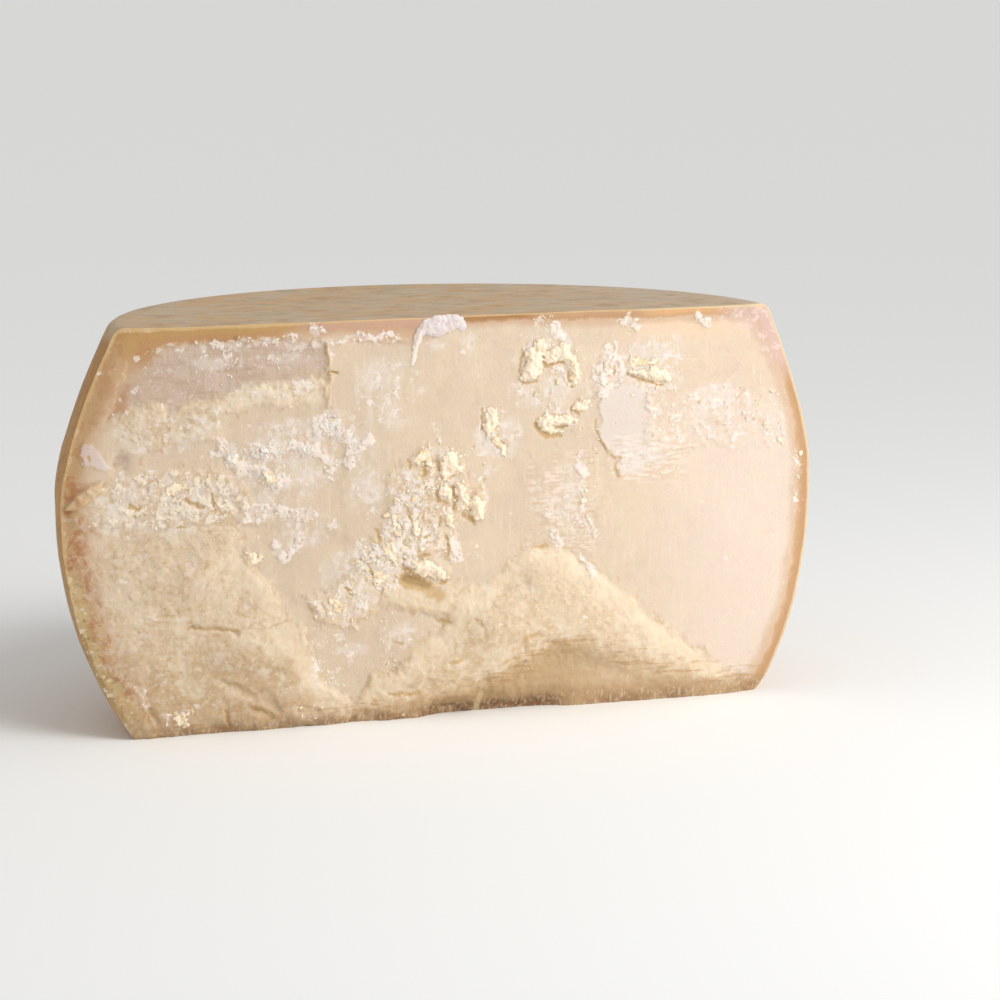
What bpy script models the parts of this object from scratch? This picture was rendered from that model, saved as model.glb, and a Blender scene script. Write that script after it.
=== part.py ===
"""Half a wheel of parmesan, cracked open down the middle and standing on its lower flat face.

The whole wheel is a turned barrel. A block whose back is the broken face takes its front half
away, so the steps, mounds, flakes and crags of that face are relief in one solid. Metres, +Z up.
The broken face looks to -Y, and face places are (across, up) in millimetres, measured from the
wheel's axis and from the base.
"""

import math

import bmesh
import bpy
import numpy as np

MM = 0.001

# Wheel, in metres
HEIGHT = 0.235
RADIUS_TOP = 0.1954
RADIUS_BASE = 0.1911
RADIUS_BELLY = 0.2267
BELLY_HEIGHT = 0.138
BELLY_LEAN = 0.0029  # the belly swells this much more to the left and less to the right
UPPER_CURVE = 1.45  # power of the barrel's curve above the belly
LOWER_CURVE = 2.41  # and below it
EDGE_ROUND_TOP = 0.0045
EDGE_ROUND_BASE = 0.002
AXIS_X = 0.0029  # puts the middle of the half wheel's box over the origin
AXIS_Y = -0.10895
WHEEL_SIDES = 112
PROFILE_STEPS = 18
EDGE_STEPS = 3

# Block that takes the front half away
GRID_STEP = 2.0  # mm between the points of the broken face before it is thinned
BLOCK_SIDE = 246.0  # mm to each side of the axis
BLOCK_LOW = -14.0
BLOCK_HIGH = 250.0
BLOCK_DEPTH = 0.26
KEPT_SHARE = 0.132  # of the block's triangles

# Colours and finish
PASTE_COLOUR = (0.79, 0.62, 0.43, 1.0)
RIND_COLOUR = (0.45, 0.28, 0.14, 1.0)
PASTE_ROUGHNESS = 0.62
RIND_ROUGHNESS = 0.5


class Noise:
    """Smooth random waves and rounded lumps over the face, the same each run."""

    CELLS = 128

    def __init__(self, seed):
        random = np.random.default_rng(seed)
        turn = random.uniform(0.0, 2.0 * math.pi, (self.CELLS, self.CELLS))
        self.slope_x = np.cos(turn)
        self.slope_y = np.sin(turn)
        self.place_x = random.uniform(0.15, 0.85, (self.CELLS, self.CELLS))
        self.place_y = random.uniform(0.15, 0.85, (self.CELLS, self.CELLS))

    def wave(self, x, y):
        """One layer of gradient noise, about -1 to 1, with features one unit wide."""
        column = np.floor(x).astype(int)
        row = np.floor(y).astype(int)
        along = x - column
        over = y - row
        ease_x = along**3 * (along * (along * 6.0 - 15.0) + 10.0)
        ease_y = over**3 * (over * (over * 6.0 - 15.0) + 10.0)

        def corner(step_x, step_y):
            i = (column + step_x) % self.CELLS
            j = (row + step_y) % self.CELLS
            return self.slope_x[i, j] * (along - step_x) + self.slope_y[i, j] * (over - step_y)

        low = corner(0, 0) * (1.0 - ease_x) + corner(1, 0) * ease_x
        high = corner(0, 1) * (1.0 - ease_x) + corner(1, 1) * ease_x
        return 1.45 * (low * (1.0 - ease_y) + high * ease_y)

    def rough(self, u, v, size, layers=3):
        """Waves of the given size in mm with finer ones on top."""
        total = np.zeros_like(u)
        share = 1.0
        for layer in range(layers):
            shift = 17.3 * layer
            total += share * self.wave(u / size + shift, v / size - shift)
            size *= 0.5
            share *= 0.5
        return total

    def lumps(self, u, v, size):
        """Rounded grains of the given size in mm: 1 at a grain's crown, 0 in the creases."""
        x = u / size
        y = v / size
        column = np.floor(x).astype(int)
        row = np.floor(y).astype(int)
        nearest = np.full_like(x, 9.0)
        for step_x in (-1, 0, 1):
            for step_y in (-1, 0, 1):
                i = (column + step_x) % self.CELLS
                j = (row + step_y) % self.CELLS
                gap_x = column + step_x + self.place_x[i, j] - x
                gap_y = row + step_y + self.place_y[i, j] - y
                nearest = np.minimum(nearest, gap_x**2 + gap_y**2)
        return np.clip(1.0 - nearest / 0.75, 0.0, 1.0)


BROAD = Noise(11)
CRAGS = Noise(23)
GRAINS = Noise(37)


def rise(value, start, end):
    """0 at start, 1 at end, with a smooth rise between them."""
    t = np.clip((value - start) / (end - start), 0.0, 1.0)
    return t * t * (3.0 - 2.0 * t)


def nearest_on_line(u, v, start, end):
    """Distance from each point to a straight piece of line, and how far along it that is."""
    run_u = end[0] - start[0]
    run_v = end[1] - start[1]
    share = ((u - start[0]) * run_u + (v - start[1]) * run_v) / (run_u**2 + run_v**2)
    share = np.clip(share, 0.0, 1.0)
    return np.hypot(u - start[0] - share * run_u, v - start[1] - share * run_v), share


def inside(u, v, outline):
    """Distance in mm from each point to a closed outline, positive inside it."""
    distance = np.full_like(u, 1e6)
    within = np.zeros(u.shape, bool)
    for start, end in zip(outline, outline[1:] + outline[:1]):
        distance = np.minimum(distance, nearest_on_line(u, v, start, end)[0])
        if start[1] != end[1]:
            spans = (start[1] > v) != (end[1] > v)
            crossing = start[0] + (v - start[1]) * (end[0] - start[0]) / (end[1] - start[1])
            within ^= spans & (u < crossing)
    return np.where(within, distance, -distance)


def ragged(u, v, reach, size):
    """The same points shifted about by up to reach mm, so that an outline drawn on them frays."""
    return u + reach * CRAGS.rough(u, v, size), v + reach * CRAGS.rough(v + 311.0, u, size)


# Outlines on the face: the flats and hollows, the crumbly parts, the thin plates and the mounds
LEFT_FLAT = [
    (-136, 178), (-125, 185), (-110, 187), (-82, 187), (-76, 190), (-70, 175), (-66, 165), (-66, 128),
    (-90, 122), (-120, 124), (-122, 140), (-135, 152), (-138, 165),
]
FLAT_HOLLOW = [
    (-127, 120), (-110, 123), (-90, 118), (-66, 112), (-62, 100), (-70, 86), (-90, 76), (-78, 58),
    (-48, 60), (-40, 44), (-42, 30), (-56, 26), (-66, 14), (-84, 12), (-112, 92),
]
SCRAPED_HOLLOW = [
    (-190, 216), (-180, 221), (-165, 224), (-140, 226), (-108, 225), (-88, 224), (-76, 224), (-75, 208),
    (-76, 202), (-97, 199), (-120, 199), (-140, 192), (-157, 190), (-168, 184), (-172, 190),
    (-186, 190), (-203, 183), (-195, 198),
]
UPPER_RIDGE = [
    (-197, 186), (-186, 190), (-172, 191), (-168, 184), (-157, 190), (-140, 192), (-120, 199), (-97, 199),
    (-74, 202), (-75, 192), (-100, 187), (-125, 186), (-135, 180), (-140, 172), (-165, 169),
    (-178, 166), (-186, 158), (-193, 166), (-197, 175),
]
SMOOTH_LENS = [
    (-183, 157), (-178, 165), (-150, 170), (-140, 169), (-136, 163), (-141, 153), (-160, 155), (-175, 153),
]
CRAG_BAND = [
    (-226, 136), (-205, 150), (-186, 156), (-155, 155), (-135, 151), (-120, 140), (-118, 133), (-128, 124),
    (-160, 121), (-195, 116), (-215, 122), (-222, 126),
]
CRUMB_BED = [
    (-8, 162), (-20, 160), (-30, 150), (-42, 142), (-38, 132), (-40, 118), (-50, 100), (-62, 88),
    (-90, 74), (-76, 58), (-52, 62), (-30, 80), (-24, 96), (-10, 98), (-2, 88), (2, 98), (-1, 118),
    (-6, 126), (6, 126), (18, 118), (18, 132), (8, 140), (4, 156),
]
BED_FOOT = [(-42, 80), (-30, 82), (-6, 80), (4, 78), (0, 62), (-12, 61), (-34, 66), (-44, 70)]
GREY_SHELF = [(-38, 38), (-42, 50), (-33, 64), (-12, 60), (-5, 57), (-8, 50), (-20, 46), (-33, 36)]
LEAF_SPREAD = [
    (120, 190), (140, 181), (160, 187), (180, 181), (205, 170), (208, 150), (160, 152), (122, 160),
]
PALE_LEAF = [
    (95, 187), (90, 180), (88, 165), (94, 153), (102, 147), (100, 140), (102, 134), (118, 142),
    (138, 148), (158, 152), (135, 156), (122, 170), (123, 182), (118, 190), (105, 190),
]
WAXY_CHIP = [(-215, 173), (-217, 166), (-214, 158), (-201, 156), (-206, 163), (-210, 169)]
LEFT_CHIP = [(-228, 134), (-222, 141), (-206, 150), (-207, 143), (-215, 138), (-222, 134)]
CORNER_PIECE = [(-207, 34), (-192, 30), (-184, 19), (-187, 3), (-200, 3), (-212, 30)]
LEFT_MOUND = [
    (-250, 104), (-210, 106), (-180, 116), (-160, 121), (-130, 121), (-126, 117), (-124, 100), (-109, 88),
    (-103, 68), (-91, 57), (-82, 36), (-72, 21), (-58, 8), (-58, -20), (-250, -20),
]
MIDDLE_MOUND = [
    (-62, 10), (-52, 26), (-38, 30), (-26, 42), (-10, 52), (-4, 66), (0, 73), (18, 80), (32, 90), (45, 98),
    (60, 98), (74, 92), (92, 80), (118, 56), (142, 38), (182, 6), (182, -20), (-62, -20),
]

# Zones of the face: outline, level in mm in front of the knife-cut plane, how wide the step round
# it is, the height of its grains and how far its edge frays
ZONES = [
    (LEFT_FLAT, -0.9, 9.0, 0.0, 3.0),
    (FLAT_HOLLOW, -1.2, 16.0, 0.0, 4.0),
    (SCRAPED_HOLLOW, -1.2, 3.0, 0.3, 2.2),
    (UPPER_RIDGE, 0.4, 5.0, 0.8, 3.5),
    (SMOOTH_LENS, -0.6, 3.5, 0.0, 1.2),
    (CRAG_BAND, 0.5, 6.0, 1.0, 4.0),
    (CRUMB_BED, 0.8, 5.0, 0.9, 3.5),
    (BED_FOOT, 1.0, 4.0, 0.8, 2.5),
    (GREY_SHELF, -0.5, 2.5, 0.2, 2.0),
    (LEAF_SPREAD, 0.3, 3.0, 0.4, 3.0),
    (PALE_LEAF, 0.9, 1.5, 0.1, 1.6),
    (WAXY_CHIP, 0.9, 1.5, 0.1, 0.8),
    (LEFT_CHIP, 2.4, 1.6, 0.3, 1.0),
    (CORNER_PIECE, 2.0, 2.0, 0.4, 1.2),
]

# Mounds of broken paste: outline, height at the rim, extra height at the crown, width of the rim
MOUNDS = [(LEFT_MOUND, 1.8, 3.4, 3.5), (MIDDLE_MOUND, 1.6, 4.0, 3.5)]
MOUND_FRAY = 2.6
CROWN_REACH = 34.0  # mm from a mound's edge to its full height
MOUND_CRAGS = 0.7
MOUND_GRAINS = 0.6
ZONE_CRAGS = 0.6

# Broad swells on the mounds: middle, half width across and up, and height, all in mm
SWELLS = [
    ((-168, 92), 46, 24, 2.4),
    ((-116, 84), 16, 26, 1.8),
    ((-122, 46), 32, 15, 3.2),
    ((-182, 44), 24, 16, 1.6),
    ((-96, 26), 20, 18, 2.6),
    ((18, 56), 44, 17, 2.6),
    ((54, 84), 28, 14, 2.0),
    ((-30, 27), 26, 11, 1.8),
    ((112, 34), 38, 20, 2.4),
]

# Flakes and chunks that stand on the face: the outline of each and its height, in mm
FLAKES = [
    ([(45, 213), (52, 212), (56, 202), (50.5, 195.5), (41, 195.5), (44, 203.5)], 3.2),
    ([(51, 213), (52, 219), (58, 218), (58, 211)], 1.6),
    ([(56, 208), (62, 213), (70.5, 216), (72, 210), (64, 206), (56.5, 204)], 2.8),
    ([(71, 214), (76.5, 206), (79, 197), (75, 191.5), (71, 191), (73, 199)], 1.8),
    ([(55, 175.3), (51, 172.5), (54.5, 168), (71, 168.5), (78, 172), (64, 173.5)], 3.0),
    ([(54, 169), (58, 164), (68, 164), (62, 166.5)], 1.9),
    ([(73.5, 177), (75.5, 181), (84, 181), (79, 175.5)], 1.9),
    ([(106.5, 197), (117, 198), (126, 200), (134, 195), (127, 190.5), (117, 195)], 2.2),
    ([(108, 206), (126, 205), (124, 201.5), (110, 201.5)], 1.4),
    ([(20, 180), (24.5, 180.5), (28, 170), (22, 163.5), (19, 166)], 2.2),
    ([(24, 163), (29, 164), (33, 158), (30, 152), (25, 158)], 1.4),
    ([(-23, 151), (-17.5, 159.5), (-12, 148), (-18, 153)], 1.8),
    ([(-7, 153), (-2, 158), (3, 150), (4, 143), (-8, 142), (-8, 150)], 2.2),
    ([(-8.5, 135), (-2, 136.5), (-3, 128.5), (-8.5, 130)], 2.2),
    ([(0.5, 138.5), (4, 138), (8, 130), (6, 121), (2, 122)], 2.6),
    ([(10, 127.5), (14, 129), (19, 126), (17.5, 116), (10.5, 118)], 2.8),
    ([(-25, 92), (-10, 90), (-4, 82), (-14, 82.5), (-25, 88)], 3.4),
    ([(-42, 102), (-37, 105), (-34, 98), (-38, 92)], 1.4),
    ([(-24, 217), (-17, 234), (6, 233), (6, 229), (-10, 225), (-20, 208), (-25, 207)], 2.0),
]
FLAKE_STEP = 1.6
FLAKE_CRAGS = 0.5

# Cracks and nooks sunk into the face: the line of each, its half width and its depth in mm
CRACKS = [
    ([(-158, 63), (-142, 62), (-131, 58)], 2.4, 1.6),
    ([(-176, 71), (-166, 71)], 3.0, 0.9),
    ([(-140, 30), (-130, 26), (-121, 20)], 3.0, 1.6),
    ([(-118, 22), (-108, 12)], 4.0, 1.6),
    ([(-158, 137), (-148, 131)], 2.0, 1.0),
    ([(-30, 84), (-23, 82), (-16, 81)], 4.4, 1.5),
    ([(-23, 80), (-17, 76), (-11, 74)], 5.4, 1.4),
    ([(42, 38), (50, 38), (58, 41)], 3.0, 1.2),
    ([(-4, 32), (4, 34)], 2.2, 1.0),
    ([(-182, 17), (-178, 8)], 2.4, 1.6),
    ([(-122, 13), (-112, 9)], 3.4, 2.0),
    ([(-96, 11), (-84, 9)], 3.2, 1.4),
]

# Height in mm of the upper border of the undercut foot, at places across
UNDERCUT_TOP = {
    -230: 8, -120: 11, -60: 11, -30: 12, -15: 17, 10: 21, 25: 26, 40: 34, 55: 42, 75: 46, 120: 30, 160: 16,
}
FOOT_SLOPE_DEPTH = 5.0
FOOT_SLOPE_REACH = 22.0
NOOK_DEPTH = 7.0
NOOK_TOP = 16.0
NOOK_LEFT = (-24.0, -4.0)  # where the nook under the middle mound begins, across, and is full
NOOK_RIGHT = (74.0, 52.0)
EDGE_BAND = 12.0  # mm of darker paste beside the rind, which sits a little further back
EDGE_DROP = 1.2


def line_bumps(u, v, lines):
    """Rounded bumps along lines, in mm; where two meet the higher one counts."""
    height = np.zeros_like(u)
    spread = 1.0 + 0.4 * CRAGS.rough(v, u, 15.0, 2)
    for points, half_width, crown in lines:
        for start, end in zip(points, points[1:]):
            distance = nearest_on_line(u, v, start, end)[0] / spread
            height = np.maximum(height, crown * rise(distance, half_width, 0.2 * half_width))
    return height


def swells(u, v):
    """The broad rises of the mounds, in mm."""
    height = np.zeros_like(u)
    for middle, half_across, half_up, crown in SWELLS:
        away = np.hypot((u - middle[0]) / half_across, (v - middle[1]) / half_up)
        height += crown * rise(away, 1.0, 0.1)
    return height


def barrel_radius(height, lean):
    """Radius of the barrel at a height; lean is 1 at the far left, -1 at the far right."""
    upper = np.clip((height - BELLY_HEIGHT) / (HEIGHT - BELLY_HEIGHT), 0.0, 1.0)
    lower = np.clip((BELLY_HEIGHT - height) / BELLY_HEIGHT, 0.0, 1.0)
    belly = RADIUS_BELLY + BELLY_LEAN * lean
    above = belly - (belly - RADIUS_TOP) * upper**UPPER_CURVE
    below = belly - (belly - RADIUS_BASE) * lower**LOWER_CURVE
    return np.where(height > BELLY_HEIGHT, above, below)


def edge_distance(u, v):
    """Distance in mm from a point of the face to the rind beside it, left or right."""
    lean = np.where(u < 0.0, 1.0, -1.0)
    return barrel_radius(np.clip(v * MM, 0.0, HEIGHT), lean) / MM - np.abs(u)


def face_relief(u, v):
    """Height in mm of the broken face in front of the knife-cut plane."""
    height = 1.2 * BROAD.rough(u, v, 95.0, 2) + 0.22 * CRAGS.rough(u, v, 26.0, 2)
    grains = GRAINS.lumps(u, v, 11.0) * 0.7 + GRAINS.lumps(v + 90.0, u, 5.5) * 0.45
    crags = CRAGS.rough(u, v, 17.0, 3)
    for outline, level, step, grain, fray in ZONES:
        mask = rise(inside(*ragged(u, v, fray, 14.0), outline), -0.5 * step, 0.5 * step)
        height += mask * (level + grain * (grains + ZONE_CRAGS * crags - 0.4))
    swelling = swells(u, v)
    for outline, rim, crown, step in MOUNDS:
        depth_in = inside(*ragged(u, v, MOUND_FRAY, 14.0), outline)
        swell = rim * rise(depth_in, -0.5, step) + crown * rise(depth_in, 0.0, CROWN_REACH)
        mask = rise(depth_in, -1.0, 3.0)
        texture = MOUND_CRAGS * crags + MOUND_GRAINS * (grains - 0.6)
        height = height * (1.0 - mask) + swell + mask * (swelling + texture)
    torn_u, torn_v = ragged(u, v, 0.6, 6.0)
    for outline, crown in FLAKES:
        mask = rise(inside(torn_u, torn_v, outline), -0.5 * FLAKE_STEP, 0.5 * FLAKE_STEP)
        height += mask * crown * (1.0 + FLAKE_CRAGS * (grains - 0.5))
    height -= line_bumps(*ragged(u, v, 1.0, 6.0), CRACKS)
    height -= EDGE_DROP * rise(edge_distance(u, v), EDGE_BAND, 0.0)
    return height - foot_cut(u, v)


def foot_cut(u, v):
    """How far in mm the face falls back near the base, most of all under the middle mound."""
    frayed_u, frayed_v = ragged(u, v, 2.4, 14.0)
    below = np.interp(frayed_u, list(UNDERCUT_TOP), list(UNDERCUT_TOP.values())) - frayed_v
    sliding = FOOT_SLOPE_DEPTH * rise(below, 0.0, FOOT_SLOPE_REACH)
    nook = rise(frayed_u, *NOOK_LEFT) * rise(frayed_u, *NOOK_RIGHT)
    return sliding + nook * NOOK_DEPTH * rise(frayed_v, NOOK_TOP, 1.0)


def rind_profile():
    """(inset share, height) pairs up the side: rounded base edge, barrel, rounded top edge."""
    points = []
    for step in range(EDGE_STEPS + 1):
        turn = 0.5 * math.pi * step / EDGE_STEPS
        points.append((EDGE_ROUND_BASE * (1.0 - math.sin(turn)), EDGE_ROUND_BASE * (1.0 - math.cos(turn))))
    side = HEIGHT - EDGE_ROUND_BASE - EDGE_ROUND_TOP
    for step in range(1, PROFILE_STEPS):
        points.append((0.0, EDGE_ROUND_BASE + side * step / PROFILE_STEPS))
    for step in range(EDGE_STEPS + 1):
        turn = 0.5 * math.pi * step / EDGE_STEPS
        drop = EDGE_ROUND_TOP * (1.0 - math.sin(turn))
        points.append((EDGE_ROUND_TOP * (1.0 - math.cos(turn)), HEIGHT - drop))
    return points


def wheel_mesh():
    """The whole wheel before it was opened: a closed barrel with flat ends."""
    shape = bmesh.new()
    rings = []
    for inset, height in rind_profile():
        ring = []
        for side in range(WHEEL_SIDES):
            angle = 2.0 * math.pi * side / WHEEL_SIDES
            radius = float(barrel_radius(height, -math.cos(angle))) - inset
            place = (AXIS_X + radius * math.cos(angle), AXIS_Y + radius * math.sin(angle), height)
            ring.append(shape.verts.new(place))
        rings.append(ring)
    for lower, upper in zip(rings, rings[1:]):
        for side in range(WHEEL_SIDES):
            after = (side + 1) % WHEEL_SIDES
            shape.faces.new((lower[side], lower[after], upper[after], upper[side]))
    shape.faces.new(list(reversed(rings[0])))
    shape.faces.new(rings[-1])
    mesh = bpy.data.meshes.new("half_wheel")
    shape.to_mesh(mesh)
    shape.free()
    return mesh


def block_mesh():
    """The block in front of the wheel, whose back is the broken face in reverse."""
    across = np.arange(-BLOCK_SIDE, BLOCK_SIDE + GRID_STEP, GRID_STEP)
    up = np.arange(BLOCK_LOW, BLOCK_HIGH + GRID_STEP, GRID_STEP)
    u, v = np.meshgrid(across, up, indexing="ij")
    back = AXIS_Y - face_relief(u, v) * MM
    shape = bmesh.new()
    grid = []
    for i in range(len(across)):
        column = []
        for j in range(len(up)):
            column.append(shape.verts.new((AXIS_X + u[i, j] * MM, back[i, j], v[i, j] * MM)))
        grid.append(column)
    for i in range(len(across) - 1):
        for j in range(len(up) - 1):
            shape.faces.new((grid[i][j], grid[i][j + 1], grid[i + 1][j + 1], grid[i + 1][j]))
    rim = [edge for edge in shape.edges if edge.is_boundary]
    made = bmesh.ops.extrude_edge_only(shape, edges=rim)["geom"]
    front = [item for item in made if isinstance(item, bmesh.types.BMVert)]
    for vertex in front:
        vertex.co.y = AXIS_Y - BLOCK_DEPTH
    bmesh.ops.contextual_create(shape, geom=[edge for edge in shape.edges if edge.is_boundary])
    bmesh.ops.recalc_face_normals(shape, faces=shape.faces)
    mesh = bpy.data.meshes.new("front_block")
    shape.to_mesh(mesh)
    shape.free()
    return mesh


def finish(name, colour, roughness):
    """A plain material with the given colour and roughness."""
    material = bpy.data.materials.new(name)
    material.use_nodes = True
    shader = material.node_tree.nodes["Principled BSDF"]
    shader.inputs["Base Color"].default_value = colour
    shader.inputs["Roughness"].default_value = roughness
    shader.inputs["Metallic"].default_value = 0.0
    return material


def clear_scene():
    """Removes whatever the file already holds."""
    for item in list(bpy.data.objects):
        bpy.data.objects.remove(item)


def make_block(materials):
    """The cutting block as an object, with its broken face thinned to the triangles it needs."""
    block = bpy.data.objects.new("front_block", block_mesh())
    bpy.context.collection.objects.link(block)
    block.hide_render = True
    block.display_type = "WIRE"
    for material in materials:
        block.data.materials.append(material)
    for polygon in block.data.polygons:
        polygon.material_index = 1
    thin = block.modifiers.new("thin", "DECIMATE")
    thin.ratio = KEPT_SHARE
    thin.use_collapse_triangulate = True
    return block


def make_half_wheel():
    """The half wheel: the barrel with its front taken away along the broken face."""
    materials = [
        finish("rind", RIND_COLOUR, RIND_ROUGHNESS),
        finish("paste", PASTE_COLOUR, PASTE_ROUGHNESS),
    ]
    half = bpy.data.objects.new("half_wheel", wheel_mesh())
    bpy.context.collection.objects.link(half)
    for material in materials:
        half.data.materials.append(material)
    half.data.shade_smooth()
    half.data.set_sharp_from_angle(angle=math.radians(35.0))
    split = half.modifiers.new("split", "BOOLEAN")
    split.operation = "DIFFERENCE"
    split.solver = "EXACT"
    split.object = make_block(materials)
    return half


if __name__ == "__main__":
    clear_scene()
    make_half_wheel()
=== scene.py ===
"""Looks of half a wheel of parmesan, cracked open down the middle and standing on its lower face.

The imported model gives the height, the belly and the place of the wheel. The broken face is a map
of heights over face places: u is the place across in millimetres from the wheel's axis, and v the
place up from the base. Crumbs, flakes and the waxy curl on the top edge are pieces of their own.
"""

import logging
import math
from dataclasses import dataclass, field, replace
from enum import Enum

import bmesh
import bpy
import numpy as np
from mathutils import Matrix, Vector


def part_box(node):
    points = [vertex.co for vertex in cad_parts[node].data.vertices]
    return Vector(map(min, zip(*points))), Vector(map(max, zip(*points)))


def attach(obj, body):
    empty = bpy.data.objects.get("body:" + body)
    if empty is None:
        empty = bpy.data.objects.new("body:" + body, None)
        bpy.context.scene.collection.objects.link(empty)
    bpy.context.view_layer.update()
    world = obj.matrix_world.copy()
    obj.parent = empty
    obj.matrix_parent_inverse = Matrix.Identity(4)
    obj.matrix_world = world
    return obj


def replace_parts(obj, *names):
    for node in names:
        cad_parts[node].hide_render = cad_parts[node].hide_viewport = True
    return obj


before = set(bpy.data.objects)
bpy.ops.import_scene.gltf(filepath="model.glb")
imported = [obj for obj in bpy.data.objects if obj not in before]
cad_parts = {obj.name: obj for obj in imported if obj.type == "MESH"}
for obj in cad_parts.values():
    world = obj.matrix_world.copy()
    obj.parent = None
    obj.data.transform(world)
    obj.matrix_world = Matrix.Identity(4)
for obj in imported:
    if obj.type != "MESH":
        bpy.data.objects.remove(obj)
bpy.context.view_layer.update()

LOG = logging.getLogger("half_wheel")
NODE = "half_wheel"
BODY = "root"
MM = 0.001
FULL_TURN = 2.0 * math.pi

Array = np.ndarray
Mesh = bpy.types.Mesh
Point = tuple[float, float]
Span = tuple[float, float]
Place = tuple[float, float, float]
Socket = bpy.types.NodeSocket


def linear(hex_colour: str) -> tuple[float, float, float, float]:
    """Turns an sRGB hex colour into the linear colour that a shader takes.

    Args:
        hex_colour: six hex digits, red first.

    Returns:
        Red, green, blue and an alpha of 1.
    """
    values = [int(hex_colour[i : i + 2], 16) / 255.0 for i in (0, 2, 4)]
    bent = [v / 12.92 if v <= 0.04045 else ((v + 0.055) / 1.055) ** 2.4 for v in values]
    return (bent[0], bent[1], bent[2], 1.0)


def per_metre(size_mm: float) -> float:
    """Scale of a noise texture whose features are size_mm wide, on coordinates in metres."""
    return 1.0 / (size_mm * MM)


def add_node(
    tree: bpy.types.NodeTree, kind: str, settings: dict[str, object], sockets: dict[str | int, object]
) -> bpy.types.Node:
    """Adds a node with its settings and links.

    Args:
        tree: the node tree that gets it.
        kind: the node's type, such as ShaderNodeMix.
        settings: property values by name.
        sockets: for each input, by name or number, a value or the output socket to link.

    Returns:
        The new node.
    """
    node = tree.nodes.new(kind)
    for name, value in settings.items():
        setattr(node, name, value)
    for key, value in sockets.items():
        if isinstance(value, Socket):
            tree.links.new(value, node.inputs[key])
        else:
            node.inputs[key].default_value = value
    return node


def rise(value: Array, start: float, end: float) -> Array:
    """Gives 0 at start and 1 at end, with a smooth rise between them."""
    t = np.clip((value - start) / (end - start), 0.0, 1.0)
    return t * t * (3.0 - 2.0 * t)


def nearest_on_line(u: Array, v: Array, start: Point, end: Point) -> Array:
    """The distance in mm from face places to a straight piece of line."""
    run_u = end[0] - start[0]
    run_v = end[1] - start[1]
    share = ((u - start[0]) * run_u + (v - start[1]) * run_v) / (run_u**2 + run_v**2)
    share = np.clip(share, 0.0, 1.0)
    return np.hypot(u - start[0] - share * run_u, v - start[1] - share * run_v)


def inside(u: Array, v: Array, outline: list[Point]) -> Array:
    """Measures from face places to a closed outline.

    Args:
        u: places across, in mm.
        v: places up, in mm.
        outline: corners of the outline in order.

    Returns:
        The distance in mm, positive inside the outline.
    """
    distance = np.full_like(u, np.inf)
    within = np.zeros(u.shape, bool)
    for start, end in zip(outline, outline[1:] + outline[:1]):
        distance = np.minimum(distance, nearest_on_line(u, v, start, end))
        if start[1] != end[1]:
            spans = (start[1] > v) != (end[1] > v)
            crossing = start[0] + (v - start[1]) * (end[0] - start[0]) / (end[1] - start[1])
            within ^= spans & (u < crossing)
    return np.where(within, distance, -distance)


def path(*numbers: float) -> list[Point]:
    """Face places, from numbers that are places across and places up in turn."""
    return list(zip(numbers[::2], numbers[1::2]))


def around(left: float, right: float, low: float, high: float) -> list[Point]:
    """Outline of an upright box of face places."""
    return path(left, low, right, low, right, high, left, high)


def along_table(values: Array, table: dict[float, float]) -> Array:
    """Reads a table of widths at the given places, blending between its entries."""
    return np.interp(values, list(table), list(table.values()))


def eased(share: Array) -> Array:
    """The smooth share by which gradient noise blends between the corners of a cell."""
    return share**3 * (share * (share * 6.0 - 15.0) + 10.0)


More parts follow.
